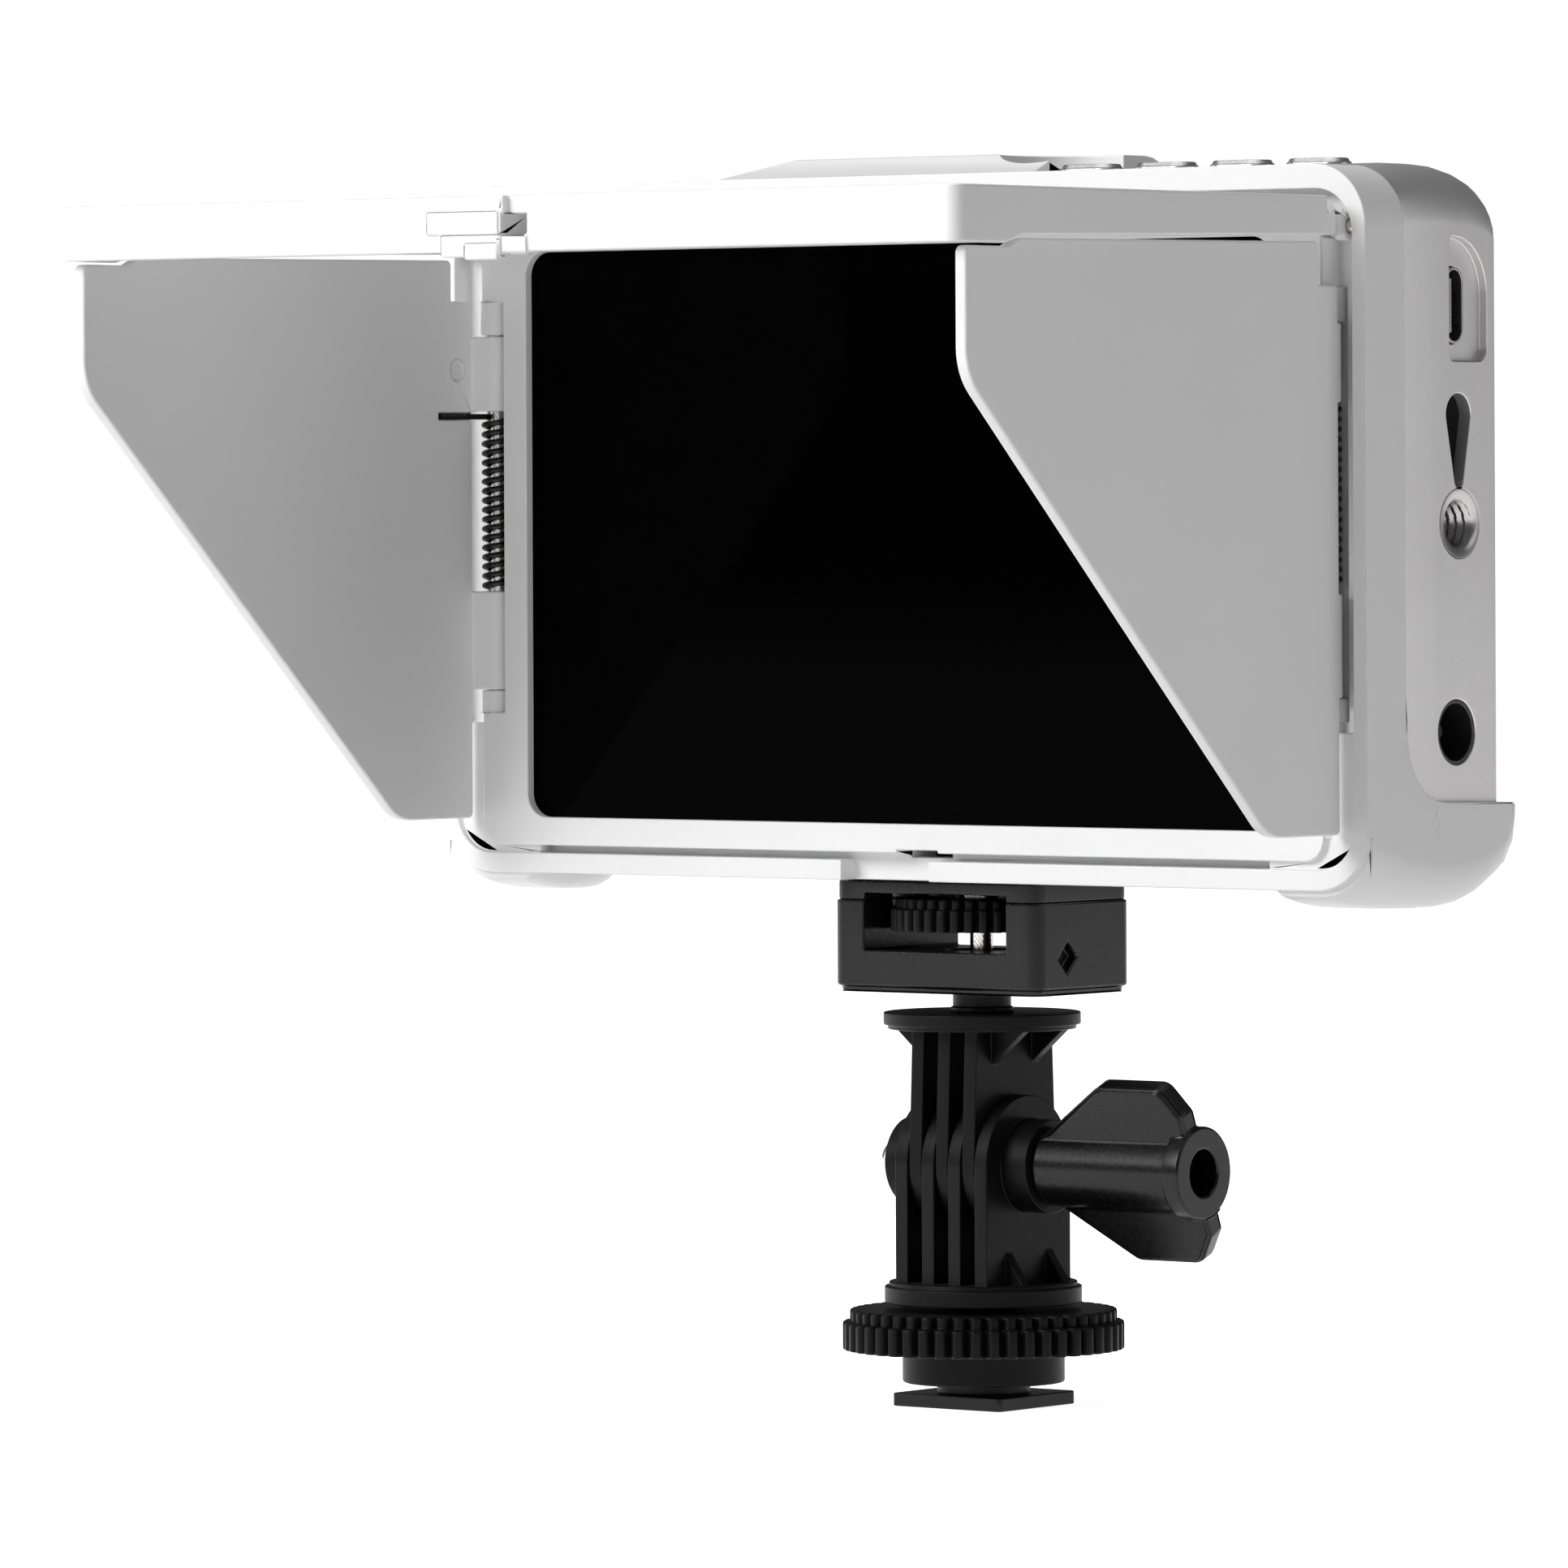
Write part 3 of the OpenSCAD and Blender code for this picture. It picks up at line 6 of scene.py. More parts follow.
import bmesh
import bpy
import numpy as np
from bpy.props import FloatProperty, FloatVectorProperty, IntProperty, PointerProperty
from mathutils import Euler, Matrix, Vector


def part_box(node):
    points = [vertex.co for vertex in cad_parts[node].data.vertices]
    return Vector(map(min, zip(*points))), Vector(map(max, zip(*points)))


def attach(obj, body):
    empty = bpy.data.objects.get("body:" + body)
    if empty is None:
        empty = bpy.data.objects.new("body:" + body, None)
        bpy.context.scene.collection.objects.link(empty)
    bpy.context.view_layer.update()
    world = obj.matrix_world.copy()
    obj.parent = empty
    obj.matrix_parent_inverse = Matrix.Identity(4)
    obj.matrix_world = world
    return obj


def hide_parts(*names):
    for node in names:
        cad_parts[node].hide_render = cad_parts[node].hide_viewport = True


bl_info = {
    "name": "Field Monitor With Sun Hood",
    "version": (1, 0, 0),
    "blender": (4, 5, 0),
    "location": "View3D > Sidebar > Field Monitor",
    "description": "Builds the finish of a camera field monitor with a folding sun hood",
    "category": "Object",
}

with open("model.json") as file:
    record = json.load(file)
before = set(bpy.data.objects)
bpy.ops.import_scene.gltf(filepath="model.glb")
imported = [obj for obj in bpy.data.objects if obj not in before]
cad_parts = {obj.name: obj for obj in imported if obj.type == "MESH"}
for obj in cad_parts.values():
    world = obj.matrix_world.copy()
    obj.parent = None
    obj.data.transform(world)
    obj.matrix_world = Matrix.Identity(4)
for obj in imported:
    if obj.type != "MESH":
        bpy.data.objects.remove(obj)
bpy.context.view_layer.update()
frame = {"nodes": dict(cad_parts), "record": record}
MM = 0.001

# The camera stands to the right of the screen, level, and a little rolled
CAMERA_AZIMUTH = math.radians(38.0)
CAMERA_PLACE = Vector((0.8709, -1.1582, 0.1251))
CAMERA_ROLL = -0.0045
FOCAL_PIXELS = 13050.0
FRAME_PIXELS = 1932.0
HORIZON_PIXEL = 605.0
SENSOR_MM = 36.0

# Bores and rims of the ribbed wheels and of the side thread, as the solids have them
LOCK_BORE = 3.06 * MM
LOCK_HUB_RADIUS = 11.1 * MM
LOCK_HUB_HEIGHT = 4.5 * MM
LOCK_RIM_HEIGHT = 3.8 * MM
LOCK_RIM_STEP = 1.0 * MM
THUMB_BORE = 3.15 * MM
THUMB_RIM_HEIGHT = 3.0 * MM
THUMB_RIM_STEP = 0.7 * MM
TIER_BEVEL = 0.1 * MM
THREAD_BORE = 3.2 * MM
THREAD_DEPTH = 0.45 * MM
THREAD_PITCH = 1.27 * MM

# Lamps: name, place, width in metres and power in watts
LAMPS = (
    ("front_lamp", (-0.6, -1.5, 1.0), 0.9, 26.0),
    ("top_lamp", (-0.3, -0.1, 1.5), 1.2, 8.0),
    ("left_lamp", (-1.6, -0.3, 0.5), 0.9, 4.0),
    ("back_lamp", (1.3, 0.5, 0.6), 0.8, 2.0),
)
LAMP_AIM = Vector((0.0, -0.02, 0.1))
WORLD_LIGHT = 0.13
FLOOR_GLOW = 0.9


# Geometry helpers


def body_of(node):
    """Name of the body that a node belongs to."""
    bodies = frame["record"]["behaviour"]["bodies"]
    return next(body for body, nodes in bodies.items() if node in nodes)


def slot_of(node):
    """Name of a node's material slot."""
    return next(s["material_slot"] for s in frame["record"]["subparts"] if s["node"] == node)


def link(mesh, name):
    """New object at the origin for a mesh."""
    piece = bpy.data.objects.new(name, mesh)
    bpy.context.scene.collection.objects.link(piece)
    return piece


def smooth_by_angle(mesh, degrees):
    """Smooth shading, sharp along edges that turn by more than the angle."""
    mesh.polygons.foreach_set("use_smooth", np.ones(len(mesh.polygons), bool))
    mesh.set_sharp_from_angle(angle=math.radians(degrees))


def settle(piece, node, material, also=()):
    """Puts a finished piece in a node's place: its body and its material."""
    piece.data.materials.clear()
    piece.data.materials.append(material)
    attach(piece, body_of(node))
    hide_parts(node, *also)
    return piece


def surface(name, grid, wrap_u=False, wrap_v=False, caps=True, degrees=35.0):
    """Mesh of a surface P(u, v) given as an array of points [u, v, xyz].

    Neighbouring rows and columns are joined by quads, worked out as whole arrays of indices.
    A wrapped direction joins its last line to its first, and caps close the first and last
    row with one face each.
    """
    rows, columns = grid.shape[:2]
    u = np.arange(rows if wrap_u else rows - 1)
    v = np.arange(columns if wrap_v else columns - 1)
    uu, vv = np.meshgrid(u, v, indexing="ij")
    u_next = (uu + 1) % rows
    v_next = (vv + 1) % columns
    row, row_next = uu * columns, u_next * columns
    quads = np.stack([row + vv, row + v_next, row_next + v_next, row_next + vv], axis=-1)
    quads = quads.reshape(-1, 4)
    faces = quads.tolist()
    if caps and wrap_v and not wrap_u:
        faces.append(np.arange(columns)[::-1].tolist())
        faces.append((np.arange(columns) + (rows - 1) * columns).tolist())
    mesh = bpy.data.meshes.new(name)
    mesh.from_pydata(grid.reshape(-1, 3).tolist(), [], faces)
    work = bmesh.new()
    work.from_mesh(mesh)
    bmesh.ops.remove_doubles(work, verts=work.verts, dist=1e-7)
    bmesh.ops.recalc_face_normals(work, faces=work.faces)
    work.to_mesh(mesh)
    work.free()
    smooth_by_angle(mesh, degrees)
    return link(mesh, name)


def along_path(path, radius, sides):
    """Tube: each ring is c(t) + r (cos a N + sin a B), where N is level and across the path."""
    tangent = np.gradient(path, axis=0)
    tangent /= np.linalg.norm(tangent, axis=1, keepdims=True)
    across = np.cross([0.0, 0.0, 1.0], tangent)
    across /= np.linalg.norm(across, axis=1, keepdims=True)
    other = np.cross(tangent, across)
    angle = np.linspace(0, 2 * np.pi, sides, endpoint=False)
    ring = (np.cos(angle)[None, :, None] * across[:, None]
            + np.sin(angle)[None, :, None] * other[:, None])
    return path[:, None] + radius * ring


def turned(profile, angles, factor):
    """Turned surface about Z: P(u, a) = (r(u) f cos a, r(u) f sin a, z(u)).

    The factor f(u, a) cuts grooves into the rim.
    """
    radius = profile[:, 0][:, None] * np.ones_like(angles)[None] * factor
    height = profile[:, 1][:, None] * np.ones_like(angles)[None]
    return np.stack([radius * np.cos(angles), radius * np.sin(angles), height], axis=-1)


def rounded_profile(corners, radius, steps=5):
    """Open outline through the corners (r, z), each inner corner rounded by a short arc."""
    corners = np.asarray(corners, float)
    points = [corners[0]]
    for before, corner, after in zip(corners[:-2], corners[1:-1], corners[2:]):
        to_before = (before - corner) / np.linalg.norm(before - corner)
        to_after = (after - corner) / np.linalg.norm(after - corner)
        half = math.acos(np.clip(to_before @ to_after, -1, 1)) / 2
        reach = min(radius / math.tan(half), 0.45 * np.linalg.norm(before - corner),
                    0.45 * np.linalg.norm(after - corner))
        start, end = corner + to_before * reach, corner + to_after * reach
        t = np.linspace(0, 1, steps + 1)[:, None]
        points.extend((1 - t) ** 2 * start + 2 * t * (1 - t) * corner + t ** 2 * end)
    points.append(corners[-1])
    return np.array(points)


def softened(node, width, segments=3, degrees=28.0):
    """Copy of a node's surface, joined up, with its sharp edges rounded to the given width."""
    mesh = frame["nodes"][node].data.copy()
    mesh.name = node + "_finish"
    work = bmesh.new()
    work.from_mesh(mesh)
    bmesh.ops.remove_doubles(work, verts=work.verts, dist=2e-6)
    bmesh.ops.dissolve_degenerate(work, edges=work.edges, dist=1e-6)
    bmesh.ops.dissolve_limit(work, angle_limit=math.radians(0.6), verts=work.verts,
                             edges=work.edges)
    sharp = [e for e in work.edges if len(e.link_faces) == 2
             and e.calc_face_angle(0.0) > math.radians(degrees)]
    if width > 0:
        bmesh.ops.bevel(work, geom=sharp, offset=width, segments=segments, profile=0.5,
                        affect="EDGES", clamp_overlap=False)
    work.to_mesh(mesh)
    work.free()
    smooth_by_angle(mesh, 40.0)
    piece = link(mesh, node + "_finish")
    weighted = piece.modifiers.new("Flat faces stay flat", "WEIGHTED_NORMAL")
    weighted.keep_sharp = True
    return piece


# Material helpers


def node_tree(name):
    """New material with its node tree, its surface shader and a helper that adds a node."""
    material = bpy.data.materials.new(name)
    material.use_nodes = True
    tree = material.node_tree
    shader = tree.nodes["Principled BSDF"]

    def add(kind, **values):
        item = tree.nodes.new(kind)
        for key, value in values.items():
            if hasattr(item, key):
                setattr(item, key, value)
            else:
                item.inputs[key.replace("_", " ")].default_value = value
        return item

    return material, tree, shader, add


def moulded(name, colour, roughness, grain, depth, specular=0.5, metallic=0.0, spread=0.06,
            edge_highlight=0.0):
    """Moulded or blasted surface: fine grain in the relief and the gloss, faint uneven tone.

    The relief is noise on Object coordinates at the grain's size. A painted highlight lightens the
    edges that Pointiness finds.
    """
    material, tree, shader, add = node_tree(name)
    shader.inputs["Metallic"].default_value = metallic
    shader.inputs["Specular IOR Level"].default_value = specular
    place = add("ShaderNodeTexCoord")
    fine = add("ShaderNodeTexNoise", Scale=1.0 / grain, Detail=3.0, Roughness=0.6)
    wide = add("ShaderNodeTexNoise", Scale=28.0, Detail=4.0, Roughness=0.55)
    tree.links.new(place.outputs["Object"], fine.inputs["Vector"])
    tree.links.new(place.outputs["Object"], wide.inputs["Vector"])
    tone = add("ShaderNodeMapRange")
    tone.inputs["From Min"].default_value = 0.3
    tone.inputs["From Max"].default_value = 0.7
    tone.inputs["To Min"].default_value = 1.0 - spread
    tone.inputs["To Max"].default_value = 1.0 + spread
    tree.links.new(wide.outputs["Fac"], tone.inputs["Value"])
    paint = add("ShaderNodeMix", data_type="RGBA", blend_type="MULTIPLY")
    paint.inputs["Factor"].default_value = 1.0
    paint.inputs["A"].default_value = (*colour, 1.0)
    tree.links.new(tone.outputs["Result"], paint.inputs["B"])
    last = paint.outputs["Result"]
    # Painted highlight: the colour is mixed towards a lighter grey on the sharp convex edges that
    # Pointiness finds
    if edge_highlight > 0:
        shape = add("ShaderNodeNewGeometry")
        edge = add("ShaderNodeMapRange")
        edge.inputs["From Min"].default_value = 0.52
        edge.inputs["From Max"].default_value = 0.62
        edge.inputs["To Min"].default_value = 0.0
        edge.inputs["To Max"].default_value = edge_highlight
        tree.links.new(shape.outputs["Pointiness"], edge.inputs["Value"])
        edge_highlight_mix = add("ShaderNodeMix", data_type="RGBA")
        tree.links.new(edge.outputs["Result"], edge_highlight_mix.inputs["Factor"])
        tree.links.new(last, edge_highlight_mix.inputs["A"])
        edge_highlight_mix.inputs["B"].default_value = (*[min(1.0, 3.5 * c + 0.05) for c in colour], 1.0)
        last = edge_highlight_mix.outputs["Result"]
    tree.links.new(last, shader.inputs["Base Color"])
    gloss = add("ShaderNodeMapRange")
    gloss.inputs["From Min"].default_value = 0.25
    gloss.inputs["From Max"].default_value = 0.75
    gloss.inputs["To Min"].default_value = max(0.02, roughness - 0.06)
    gloss.inputs["To Max"].default_value = min(1.0, roughness + 0.06)
    tree.links.new(fine.outputs["Fac"], gloss.inputs["Value"])
    tree.links.new(gloss.outputs["Result"], shader.inputs["Roughness"])
    relief = add("ShaderNodeBump")
    relief.inputs["Strength"].default_value = 0.6
    relief.inputs["Distance"].default_value = depth
    tree.links.new(fine.outputs["Fac"], relief.inputs["Height"])
    tree.links.new(relief.outputs["Normal"], shader.inputs["Normal"])
    return material


def turned_steel(name, colour, roughness):
    """Turned metal: fine slanting bands of relief and of gloss."""
    material, tree, shader, add = node_tree(name)
    shader.inputs["Base Color"].default_value = (*colour, 1.0)
    shader.inputs["Metallic"].default_value = 1.0
    place = add("ShaderNodeTexCoord")
    rings = add("ShaderNodeTexWave", wave_type="BANDS", bands_direction="DIAGONAL", Scale=900.0,
                Distortion=2.0)
    tree.links.new(place.outputs["Object"], rings.inputs["Vector"])
    gloss = add("ShaderNodeMapRange")
    gloss.inputs["To Min"].default_value = roughness * 0.7
    gloss.inputs["To Max"].default_value = roughness * 1.3
    tree.links.new(rings.outputs["Fac"], gloss.inputs["Value"])
    tree.links.new(gloss.outputs["Result"], shader.inputs["Roughness"])
    relief = add("ShaderNodeBump")
    relief.inputs["Strength"].default_value = 0.15
    relief.inputs["Distance"].default_value = 0.00002
    tree.links.new(rings.outputs["Fac"], relief.inputs["Height"])
    tree.links.new(relief.outputs["Normal"], shader.inputs["Normal"])
    return material


def black_glass(name):
    """Polished black cover glass with a faint unevenness in its gloss, as from handling."""
    material, tree, shader, add = node_tree(name)
    shader.inputs["Base Color"].default_value = (0.0006, 0.0006, 0.0007, 1.0)
    shader.inputs["Specular IOR Level"].default_value = 0.02
    shader.inputs["IOR"].default_value = 1.45
    place = add("ShaderNodeTexCoord")
    smear = add("ShaderNodeTexNoise", Scale=35.0, Detail=5.0, Roughness=0.65)
    tree.links.new(place.outputs["Object"], smear.inputs["Vector"])
    gloss = add("ShaderNodeMapRange")
    gloss.inputs["To Min"].default_value = 0.03
    gloss.inputs["To Max"].default_value = 0.07
    tree.links.new(smear.outputs["Fac"], gloss.inputs["Value"])
    tree.links.new(gloss.outputs["Result"], shader.inputs["Roughness"])
    return material


def board_green(name):
    """Circuit board lacquer with faint tracks beneath it."""
    material, tree, shader, add = node_tree(name)
    place = add("ShaderNodeTexCoord")
    tracks = add("ShaderNodeTexVoronoi", Scale=260.0, feature="DISTANCE_TO_EDGE")
    tree.links.new(place.outputs["Object"], tracks.inputs["Vector"])
    ramp = add("ShaderNodeValToRGB")
    ramp.color_ramp.elements[0].color = (0.02, 0.16, 0.07, 1.0)
    ramp.color_ramp.elements[1].position = 0.08
    ramp.color_ramp.elements[1].color = (0.008, 0.07, 0.03, 1.0)
    tree.links.new(tracks.outputs["Distance"], ramp.inputs["Fac"])
    tree.links.new(ramp.outputs["Color"], shader.inputs["Base Color"])
    shader.inputs["Roughness"].default_value = 0.35
    return material


MATERIALS = {}


def make_materials(colours):
    """The finishes, one for each slot of the record."""
    white = tuple(colours.hood)
    silver = tuple(colours.shell)
    black = tuple(colours.mount)
    MATERIALS.update(
        white_plastic=moulded("hood_white", white, 0.42, 0.00035, 0.000012, spread=0.012),
        silver_shell=moulded("shell_silver", silver, 0.42, 0.00022, 0.00003, metallic=0.75,
                             spread=0.05),
        button_metal=moulded("button_silver", silver, 0.28, 0.0002, 0.00001, metallic=0.9,
                             spread=0.03),
        # The three black finishes below carry a painted highlight on their sharp edges, of the
        # strength given last
        black_plastic=moulded("mount_black", black, 0.42, 0.0004, 0.00002, specular=0.12,
                              spread=0.2, edge_highlight=0.12),
        knob_plastic=moulded("knob_black", black, 0.26, 0.0006, 0.00001, specular=0.3,
                             spread=0.15, edge_highlight=0.1),
        black_metal=moulded("foot_black", (0.012, 0.012, 0.013), 0.38, 0.0003, 0.00001,
                            metallic=0.6, spread=0.1, edge_highlight=0.35),
        steel=turned_steel("bolt_steel", (0.72, 0.69, 0.66), 0.18),
        port_metal=moulded("port_steel", (0.42, 0.41, 0.41), 0.3, 0.0002, 0.00001, metallic=1.0),
        port_plastic=moulded("port_black", (0.012, 0.012, 0.012), 0.45, 0.0003, 0.00001),
        contact_metal=turned_steel("contact_gold", (0.83, 0.62, 0.28), 0.2),
        plate_metal=moulded("plate_aluminium", (0.5, 0.5, 0.5), 0.35, 0.0003, 0.00001,
                            metallic=1.0),
        pad_rubber=moulded("pad_black", (0.012, 0.012, 0.012), 0.8, 0.0003, 0.00003),
        spring_wire=moulded("spring_black", (0.008, 0.008, 0.008), 0.3, 0.0004, 0.00001,
                            metallic=0.5, spread=0.2),
        cover_glass=black_glass("screen_glass"),
        screen_cell=moulded("screen_cell", (0.01, 0.01, 0.014), 0.2, 0.0003, 0.00001),
        light_sheet=moulded("light_sheet", (0.85, 0.86, 0.86), 0.5, 0.0004, 0.00001),
        circuit_board=board_green("board_green"),
    )


# Driving sizes and colours


class MonitorSizes(bpy.types.PropertyGroup):
    """Sizes of the finishing work that a user would change."""

    hood_edge: FloatProperty(name="Hood edge", description="Rounding of the hood's edges",
                             default=0.35 * MM, unit="LENGTH")
    shell_edge: FloatProperty(name="Shell edge",
                              description="Rounding of the silver shell's edges",
                              default=0.18 * MM, unit="LENGTH")
    mount_edge: FloatProperty(name="Mount edge", description="Rounding of the black mount's edges",
                              default=0.22 * MM, unit="LENGTH")
    wire_radius: FloatProperty(name="Spring wire", description="Radius of the spring wire",
                               default=0.4 * MM, unit="LENGTH")
    spring_curls: IntProperty(name="Spring curls", description="Curls of each hinge spring",
                              default=18)
    wheel_grooves: IntProperty(name="Wheel grooves", description="Grooves of the lock wheel",
                               default=48)
    thumb_grooves: IntProperty(name="Thumbwheel grooves", description="Grooves of the thumbwheel",
                               default=38)


class MonitorColours(bpy.types.PropertyGroup):
    """Main colours."""

    hood: FloatVectorProperty(name="Hood", description="White of the sun hood", subtype="COLOR",
                              default=(0.86, 0.86, 0.86))
    shell: FloatVectorProperty(name="Shell", description="Silver of the monitor's shell",
                               subtype="COLOR", default=(0.62, 0.61, 0.61))
    mount: FloatVectorProperty(name="Mount", description="Black of the mount", subtype="COLOR",
                               default=(0.004, 0.004, 0.0045))


# The pieces


class HoodPanels(bpy.types.Operator):
    """Frame, top panel and flaps of the white hood, with rounded edges"""

    bl_idname = "monitor.hood_panels"
    bl_label = "Hood panels"

    def execute(self, context):
        edge = context.scene.monitor_sizes.hood_edge
        for node, width in (("hood_frame", 0.6 * edge), ("hood_top", edge),
                            ("left_flap", edge), ("right_flap", edge)):
            settle(softened(node, width), node, MATERIALS["white_plastic"])
        return {"FINISHED"}


class HingeSprings(bpy.types.Operator):
    """Springs of the side flaps: a helix and a straight leg along the flap"""

    bl_idname = "monitor.hinge_springs"
    bl_label = "Hinge springs"

    def execute(self, context):
        sizes = context.scene.monitor_sizes
        for side, node in ((1, "right_spring"), (-1, "left_spring")):
            low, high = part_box(node)
            rod_low, rod_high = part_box(node.replace("spring", "hinge_rod"))
            axis_x = (rod_low.x + rod_high.x) / 2
            axis_y = (rod_low.y + rod_high.y) / 2
            grid = self.wire_grid(side, axis_x, axis_y, low, high, sizes)
            settle(surface(node + "_wire", grid, wrap_v=True), node, MATERIALS["spring_wire"])
        return {"FINISHED"}

    @staticmethod
    def wire_grid(side, axis_x, axis_y, low, high, sizes):
        """Helix (R cos a, -R sin a, z0 + p a / 2 pi), then a straight leg, as one tube."""
        wire = sizes.wire_radius
        turn_radius = high.y - axis_y - wire
        angle = np.linspace(0, 2 * np.pi * sizes.spring_curls, 28 * sizes.spring_curls + 1)
        z_low, z_high = low.z + wire, high.z - wire
        curls = np.stack([
            axis_x + side * turn_radius * np.cos(angle),
            axis_y - turn_radius * np.sin(angle),
            z_low + (z_high - z_low) * angle / angle[-1],
        ], axis=-1)
        leg_x = high.x - wire if side > 0 else low.x + wire
        knee_y = axis_y - 3.4 * MM
        leg = np.array([
            [axis_x + side * (turn_radius + 0.1 * MM), axis_y - 0.9 * MM, z_high],
            [axis_x + side * (turn_radius + 0.4 * MM), axis_y - 2.0 * MM, z_high],
            [leg_x - side * 0.1 * MM, knee_y + 0.5 * MM, z_high],
            [leg_x, knee_y - 0.4 * MM, z_high],
            [leg_x, low.y, z_high],
        ])
        return along_path(np.concatenate([curls, leg]), wire, 12)


class ScreenStack(bpy.types.Operator):
    """Cover glass with a ground edge, and the bezel behind it"""

    bl_idname = "monitor.screen_stack"
    bl_label = "Screen stack"

    def execute(self, context):
        settle(softened("cover_glass", 0.12 * MM, 2), "cover_glass", MATERIALS["cover_glass"])
        settle(softened("front_bezel", 0.0), "front_bezel", MATERIALS["port_plastic"])
        return {"FINISHED"}


class SilverShell(bpy.types.Operator):
    """Silver shell of the monitor and its four top buttons"""

    bl_idname = "monitor.silver_shell"
    bl_label = "Silver shell"

    def execute(self, context):
        edge = context.scene.monitor_sizes.shell_edge
        settle(softened("rear_shell", edge), "rear_shell", MATERIALS["silver_shell"])
        for i in range(1, 5):
            node = f"button_{i}"
            settle(softened(node, 0.28 * MM), node, MATERIALS["button_metal"])
        return {"FINISHED"}


class SidePorts(bpy.types.Operator):
    """Threaded bush, the jacks and ports, and the battery plate with its latch"""

    bl_idname = "monitor.side_ports"
    bl_label = "Side ports"

    def execute(self, context):
        for node, width in (("dc_jack", 0.12 * MM), ("usb_c_port", 0.08 * MM),
                            ("hdmi_port", 0.08 * MM), ("headphone_jack", 0.12 * MM),
                            ("battery_plate", 0.25 * MM), ("battery_latch", 0.25 * MM)):
            settle(softened(node, width, 2), node, MATERIALS[slot_of(node)])
        self.threaded_bush()
        return {"FINISHED"}

    @staticmethod
    def threaded_bush():
        """Bush with a cut thread: bore radius R + h tri(a / 2 pi + x / p) on a grid (x, a)."""
        node = "side_insert"
        low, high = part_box(node)
        outer = (high.z - low.z) / 2
        y_mid, z_mid = (low.y + high.y) / 2, (low.z + high.z) / 2
        sides = 64
        angle = np.linspace(0, 2 * np.pi, sides, endpoint=False)
        along = np.linspace(high.x - 0.55 * MM, low.x + 0.02 * MM, 90)
        phase = along[:, None] / THREAD_PITCH + angle[None] / (2 * np.pi)
        tooth = np.abs(2 * (phase - np.floor(phase)) - 1)
        flat = np.ones((1, sides))
        radius = np.concatenate([
            outer * flat, outer * flat, (THREAD_BORE + 0.6 * MM) * flat,
            THREAD_BORE - THREAD_DEPTH + THREAD_DEPTH * tooth + 0.12 * MM,
            outer * flat,
        ])
        place = np.concatenate([[low.x], [high.x], [high.x], along, [low.x]])
        grid = np.stack([
            place[:, None] * np.ones(sides)[None],
            y_mid + radius * np.cos(angle),
            z_mid + radius * np.sin(angle),
        ], axis=-1)
        piece = surface("side_bush", grid, wrap_v=True, caps=False, degrees=50.0)
        settle(piece, node, MATERIALS["port_metal"])


class MountBody(bpy.types.Operator):
    """Shoe foot, clevis parts, block, wing knob, dome nut and stem, with rounded edges"""

    bl_idname = "monitor.mount_body"
    bl_label = "Mount body"

    def execute(self, context):
        edge = context.scene.monitor_sizes.mount_edge
        for node, factor in (("shoe_foot", 0.8), ("lower_clevis", 0.8), ("upper_clevis", 0.8),
                             ("block_body", 1.6), ("block_cap", 1.2), ("wing_knob", 1.8),
                             ("axle_nut", 0.8), ("swivel_stem", 0.6)):
            settle(softened(node, factor * edge), node, MATERIALS[slot_of(node)])
        return {"FINISHED"}


class RibbedWheels(bpy.types.Operator):
    """Lock wheel and thumbwheel, turned in two tiers with rounded grooves"""

    bl_idname = "monitor.ribbed_wheels"
    bl_label = "Ribbed wheels"

    def execute(self, context):
        sizes = context.scene.monitor_sizes
        low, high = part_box("lock_wheel")
        rim, inner_rim = high.x, high.x - LOCK_RIM_STEP
        hub_top = low.z + LOCK_HUB_HEIGHT
        tier = hub_top + LOCK_RIM_HEIGHT
        corners = [(LOCK_BORE, low.z), (LOCK_HUB_RADIUS, low.z), (LOCK_HUB_RADIUS, hub_top),
                   (rim, hub_top), (rim, tier), (inner_rim, tier + TIER_BEVEL),
                   (inner_rim, high.z), (LOCK_BORE, high.z)]
        self.wheel("lock_wheel", corners, sizes.wheel_grooves, 12.5 * MM, 1.3 * MM)
        low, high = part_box("thumbwheel")
        rim, inner_rim = high.x, high.x - THUMB_RIM_STEP
        tier = low.z + THUMB_RIM_HEIGHT
        corners = [(THUMB_BORE, low.z), (rim, low.z), (rim, tier),
                   (inner_rim, tier + TIER_BEVEL), (inner_rim, high.z), (THUMB_BORE, high.z)]
        self.wheel("thumbwheel", corners, sizes.thumb_grooves, 9.0 * MM, 1.1 * MM)
        return {"FINISHED"}

    @staticmethod
    def wheel(node, corners, grooves, inner, depth):
        """Turned profile whose radius is less by d g(a)^6 in each groove, g = |cos(n a / 2)|."""
        profile = rounded_profile(corners, 0.35 * MM, 4)
        angle = np.linspace(0, 2 * np.pi, grooves * 14, endpoint=False)
        share = np.clip((profile[:, 0] - inner) / (profile[:, 0].max() - inner), 0, 1) ** 0.5
        groove = np.abs(np.cos(grooves * angle / 2)) ** 6
        factor = 1 - share[:, None] * depth * groove[None] / np.maximum(profile[:, :1], inner)
        grid = turned(profile, angle, factor)
        piece = surface(node + "_turned", grid, wrap_u=True, wrap_v=True, degrees=32.0)
        settle(piece, node, MATERIALS["black_plastic"])


class SmallParts(bpy.types.Operator):
    """Finishes of the nodes whose own shape is right"""

    bl_idname = "monitor.small_parts"
    bl_label = "Small parts"

    def execute(self, context):
        for node, piece in frame["nodes"].items():
            piece.data.materials.clear()
            piece.data.materials.append(MATERIALS[slot_of(node)])
        return {"FINISHED"}


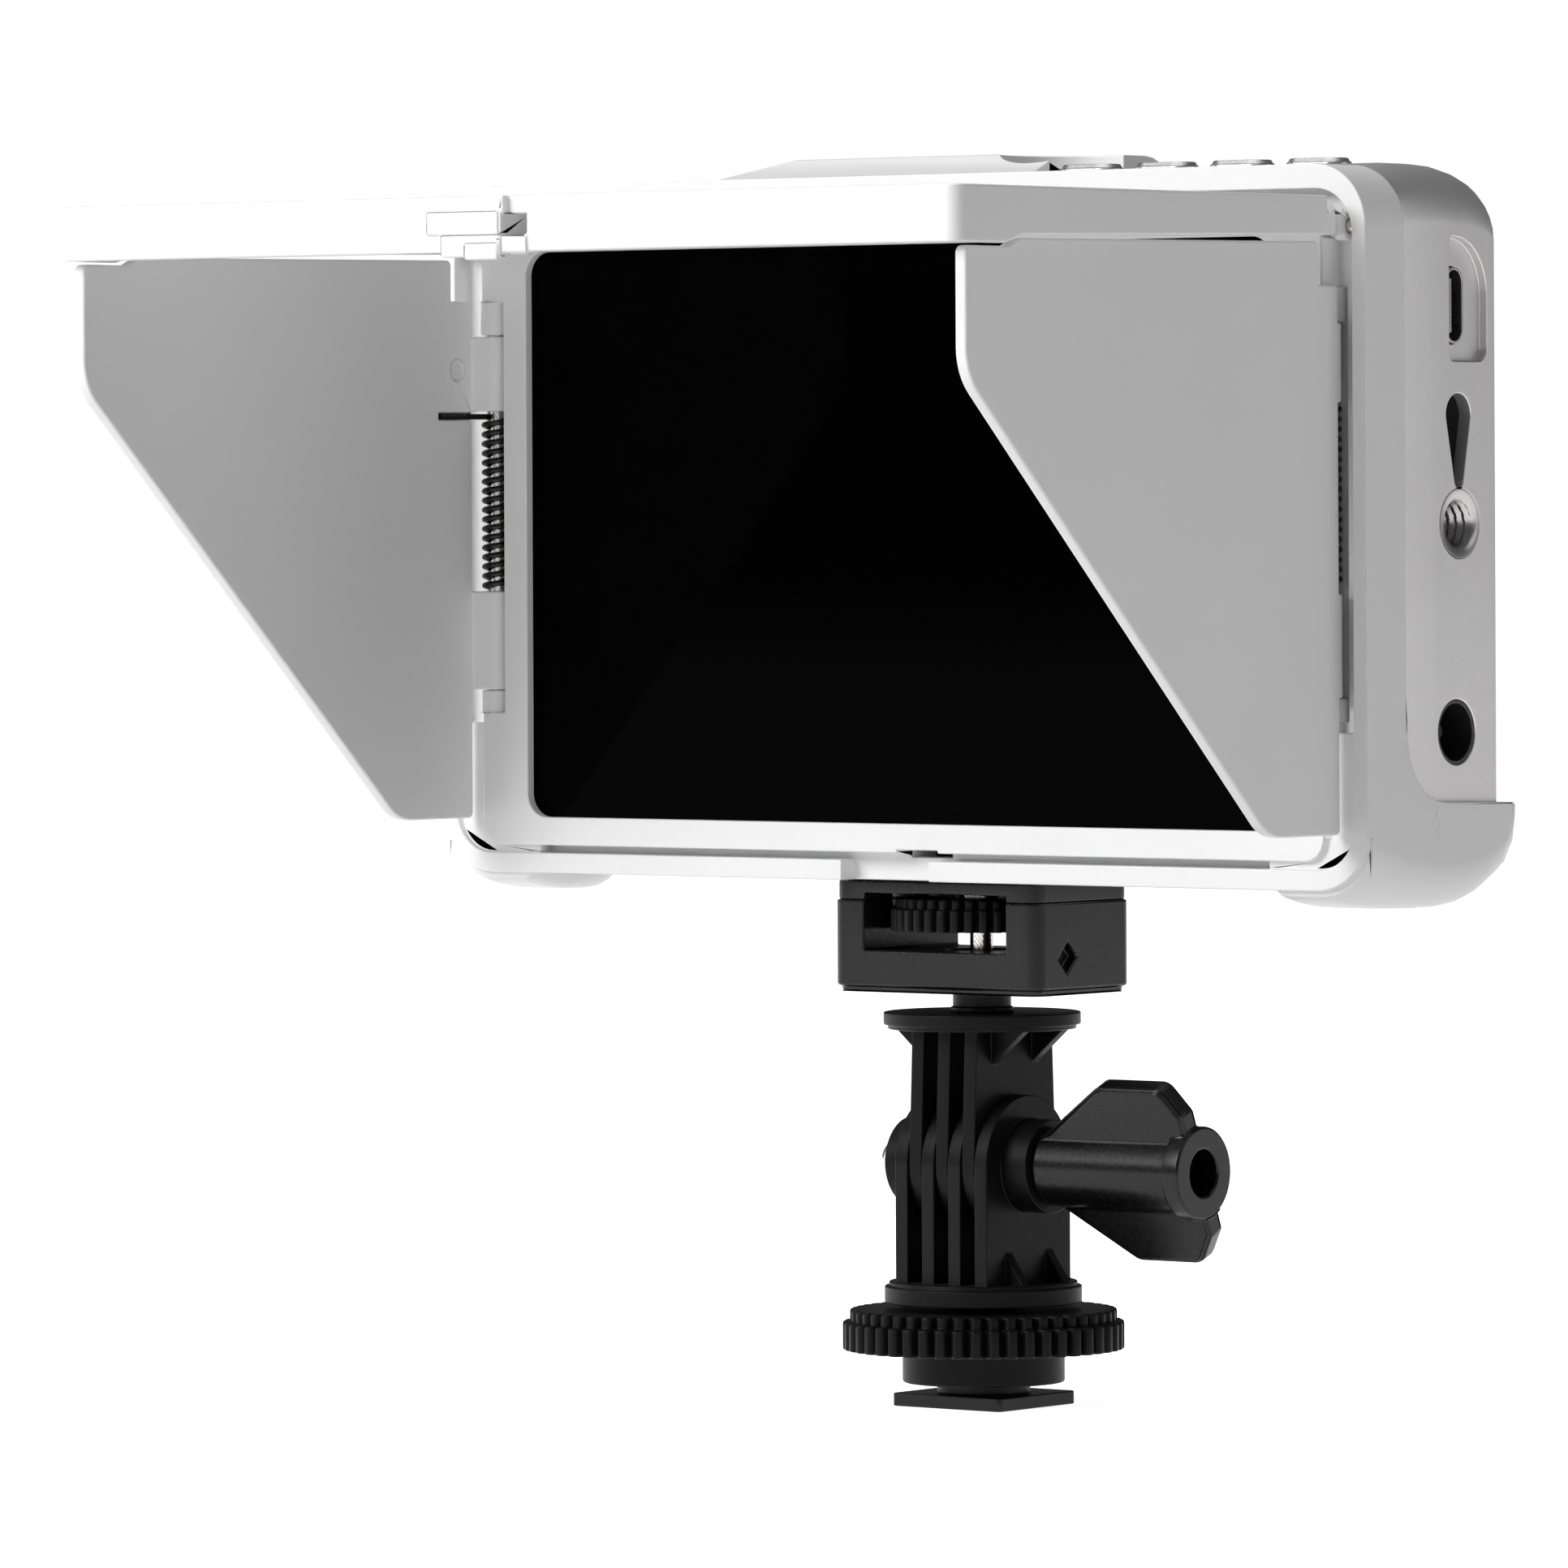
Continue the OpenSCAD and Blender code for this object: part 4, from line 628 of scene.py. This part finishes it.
class MonitorStage(bpy.types.Operator):
    """Floor, soft lamps and the camera of the photograph"""

    bl_idname = "monitor.stage"
    bl_label = "Stage"

    def execute(self, context):
        self.camera()
        self.floor()
        self.lamps()
        return {"FINISHED"}

    @staticmethod
    def camera():
        data = bpy.data.cameras.new("camera")
        data.sensor_width = SENSOR_MM
        data.lens = FOCAL_PIXELS / FRAME_PIXELS * SENSOR_MM
        data.shift_y = (HORIZON_PIXEL - FRAME_PIXELS / 2) / FRAME_PIXELS
        data.clip_end = 20.0
        camera = bpy.data.objects.new("camera", data)
        camera.location = CAMERA_PLACE
        camera.rotation_euler = Euler((math.pi / 2, 0.0, CAMERA_AZIMUTH), "XYZ")
        camera.rotation_euler = (
            camera.rotation_euler.to_matrix() @ Euler((0, 0, CAMERA_ROLL)).to_matrix()
        ).to_euler()
        bpy.context.scene.collection.objects.link(camera)
        bpy.context.scene.camera = camera

    @staticmethod
    def floor():
        """Floor that the camera and reflections see as nearly white."""
        mesh = bpy.data.meshes.new("floor")
        reach = 6.0
        mesh.from_pydata([(-reach, -reach, 0), (reach, -reach, 0), (reach, reach, 0),
                          (-reach, reach, 0)], [], [(0, 1, 2, 3)])
        floor = link(mesh, "floor")
        material, tree, shader, add = node_tree("floor_white")
        shader.inputs["Base Color"].default_value = (0.9, 0.9, 0.9, 1.0)
        shader.inputs["Roughness"].default_value = 0.9
        shader.inputs["Specular IOR Level"].default_value = 0.0
        shader.inputs["Emission Color"].default_value = (1.0, 1.0, 1.0, 1.0)
        rays = add("ShaderNodeLightPath")
        seen = add("ShaderNodeMath", operation="MAXIMUM")
        glow = add("ShaderNodeMath", operation="MULTIPLY")
        glow.inputs[1].default_value = FLOOR_GLOW
        tree.links.new(rays.outputs["Is Camera Ray"], seen.inputs[0])
        tree.links.new(rays.outputs["Is Glossy Ray"], seen.inputs[1])
        tree.links.new(seen.outputs[0], glow.inputs[0])
        tree.links.new(glow.outputs[0], shader.inputs["Emission Strength"])
        mesh.materials.append(material)

    @staticmethod
    def lamps():
        """World that lights softly but is seen white, and the large lamps."""
        world = bpy.data.worlds.new("studio")
        bpy.context.scene.world = world
        world.use_nodes = True
        tree = world.node_tree
        back = tree.nodes["Background"]
        rays = tree.nodes.new("ShaderNodeLightPath")
        seen = tree.nodes.new("ShaderNodeMath")
        seen.operation = "MAXIMUM"
        level = tree.nodes.new("ShaderNodeMapRange")
        level.inputs["To Min"].default_value = WORLD_LIGHT
        level.inputs["To Max"].default_value = 1.0
        back.inputs["Color"].default_value = (1.0, 1.0, 1.0, 1.0)
        tree.links.new(rays.outputs["Is Camera Ray"], seen.inputs[0])
        tree.links.new(rays.outputs["Is Transmission Ray"], seen.inputs[1])
        tree.links.new(seen.outputs[0], level.inputs["Value"])
        tree.links.new(level.outputs["Result"], back.inputs["Strength"])
        for name, place, size, power in LAMPS:
            data = bpy.data.lights.new(name, "AREA")
            data.size = size
            data.energy = power
            lamp = bpy.data.objects.new(name, data)
            lamp.location = place
            aim = LAMP_AIM - Vector(place)
            lamp.rotation_euler = aim.to_track_quat("-Z", "Y").to_euler()
            bpy.context.scene.collection.objects.link(lamp)


class MonitorPanel(bpy.types.Panel):
    """Sidebar panel with the sizes, the colours and the steps"""

    bl_idname = "VIEW3D_PT_field_monitor"
    bl_label = "Field Monitor"
    bl_space_type = "VIEW_3D"
    bl_region_type = "UI"
    bl_category = "Field Monitor"

    def draw(self, context):
        for group in (context.scene.monitor_sizes, context.scene.monitor_colours):
            for name in group.bl_rna.properties.keys():
                if name not in {"rna_type", "name"}:
                    self.layout.prop(group, name)
        for step in STEPS:
            self.layout.operator(step.bl_idname)


STEPS = (SmallParts, HoodPanels, HingeSprings, ScreenStack, SilverShell, SidePorts, MountBody,
         RibbedWheels, MonitorStage)
CLASSES = (MonitorSizes, MonitorColours, *STEPS, MonitorPanel)


def register():
    for item in CLASSES:
        bpy.utils.register_class(item)
    bpy.types.Scene.monitor_sizes = PointerProperty(type=MonitorSizes)
    bpy.types.Scene.monitor_colours = PointerProperty(type=MonitorColours)


def unregister():
    del bpy.types.Scene.monitor_colours
    del bpy.types.Scene.monitor_sizes
    for item in reversed(CLASSES):
        bpy.utils.unregister_class(item)


def main():
    register()
    scene = bpy.context.scene
    scene.view_settings.view_transform = "Standard"
    make_materials(scene.monitor_colours)
    for step in STEPS:
        group, name = step.bl_idname.split(".")
        getattr(getattr(bpy.ops, group), name)()


if __name__ == "__main__":
    main()
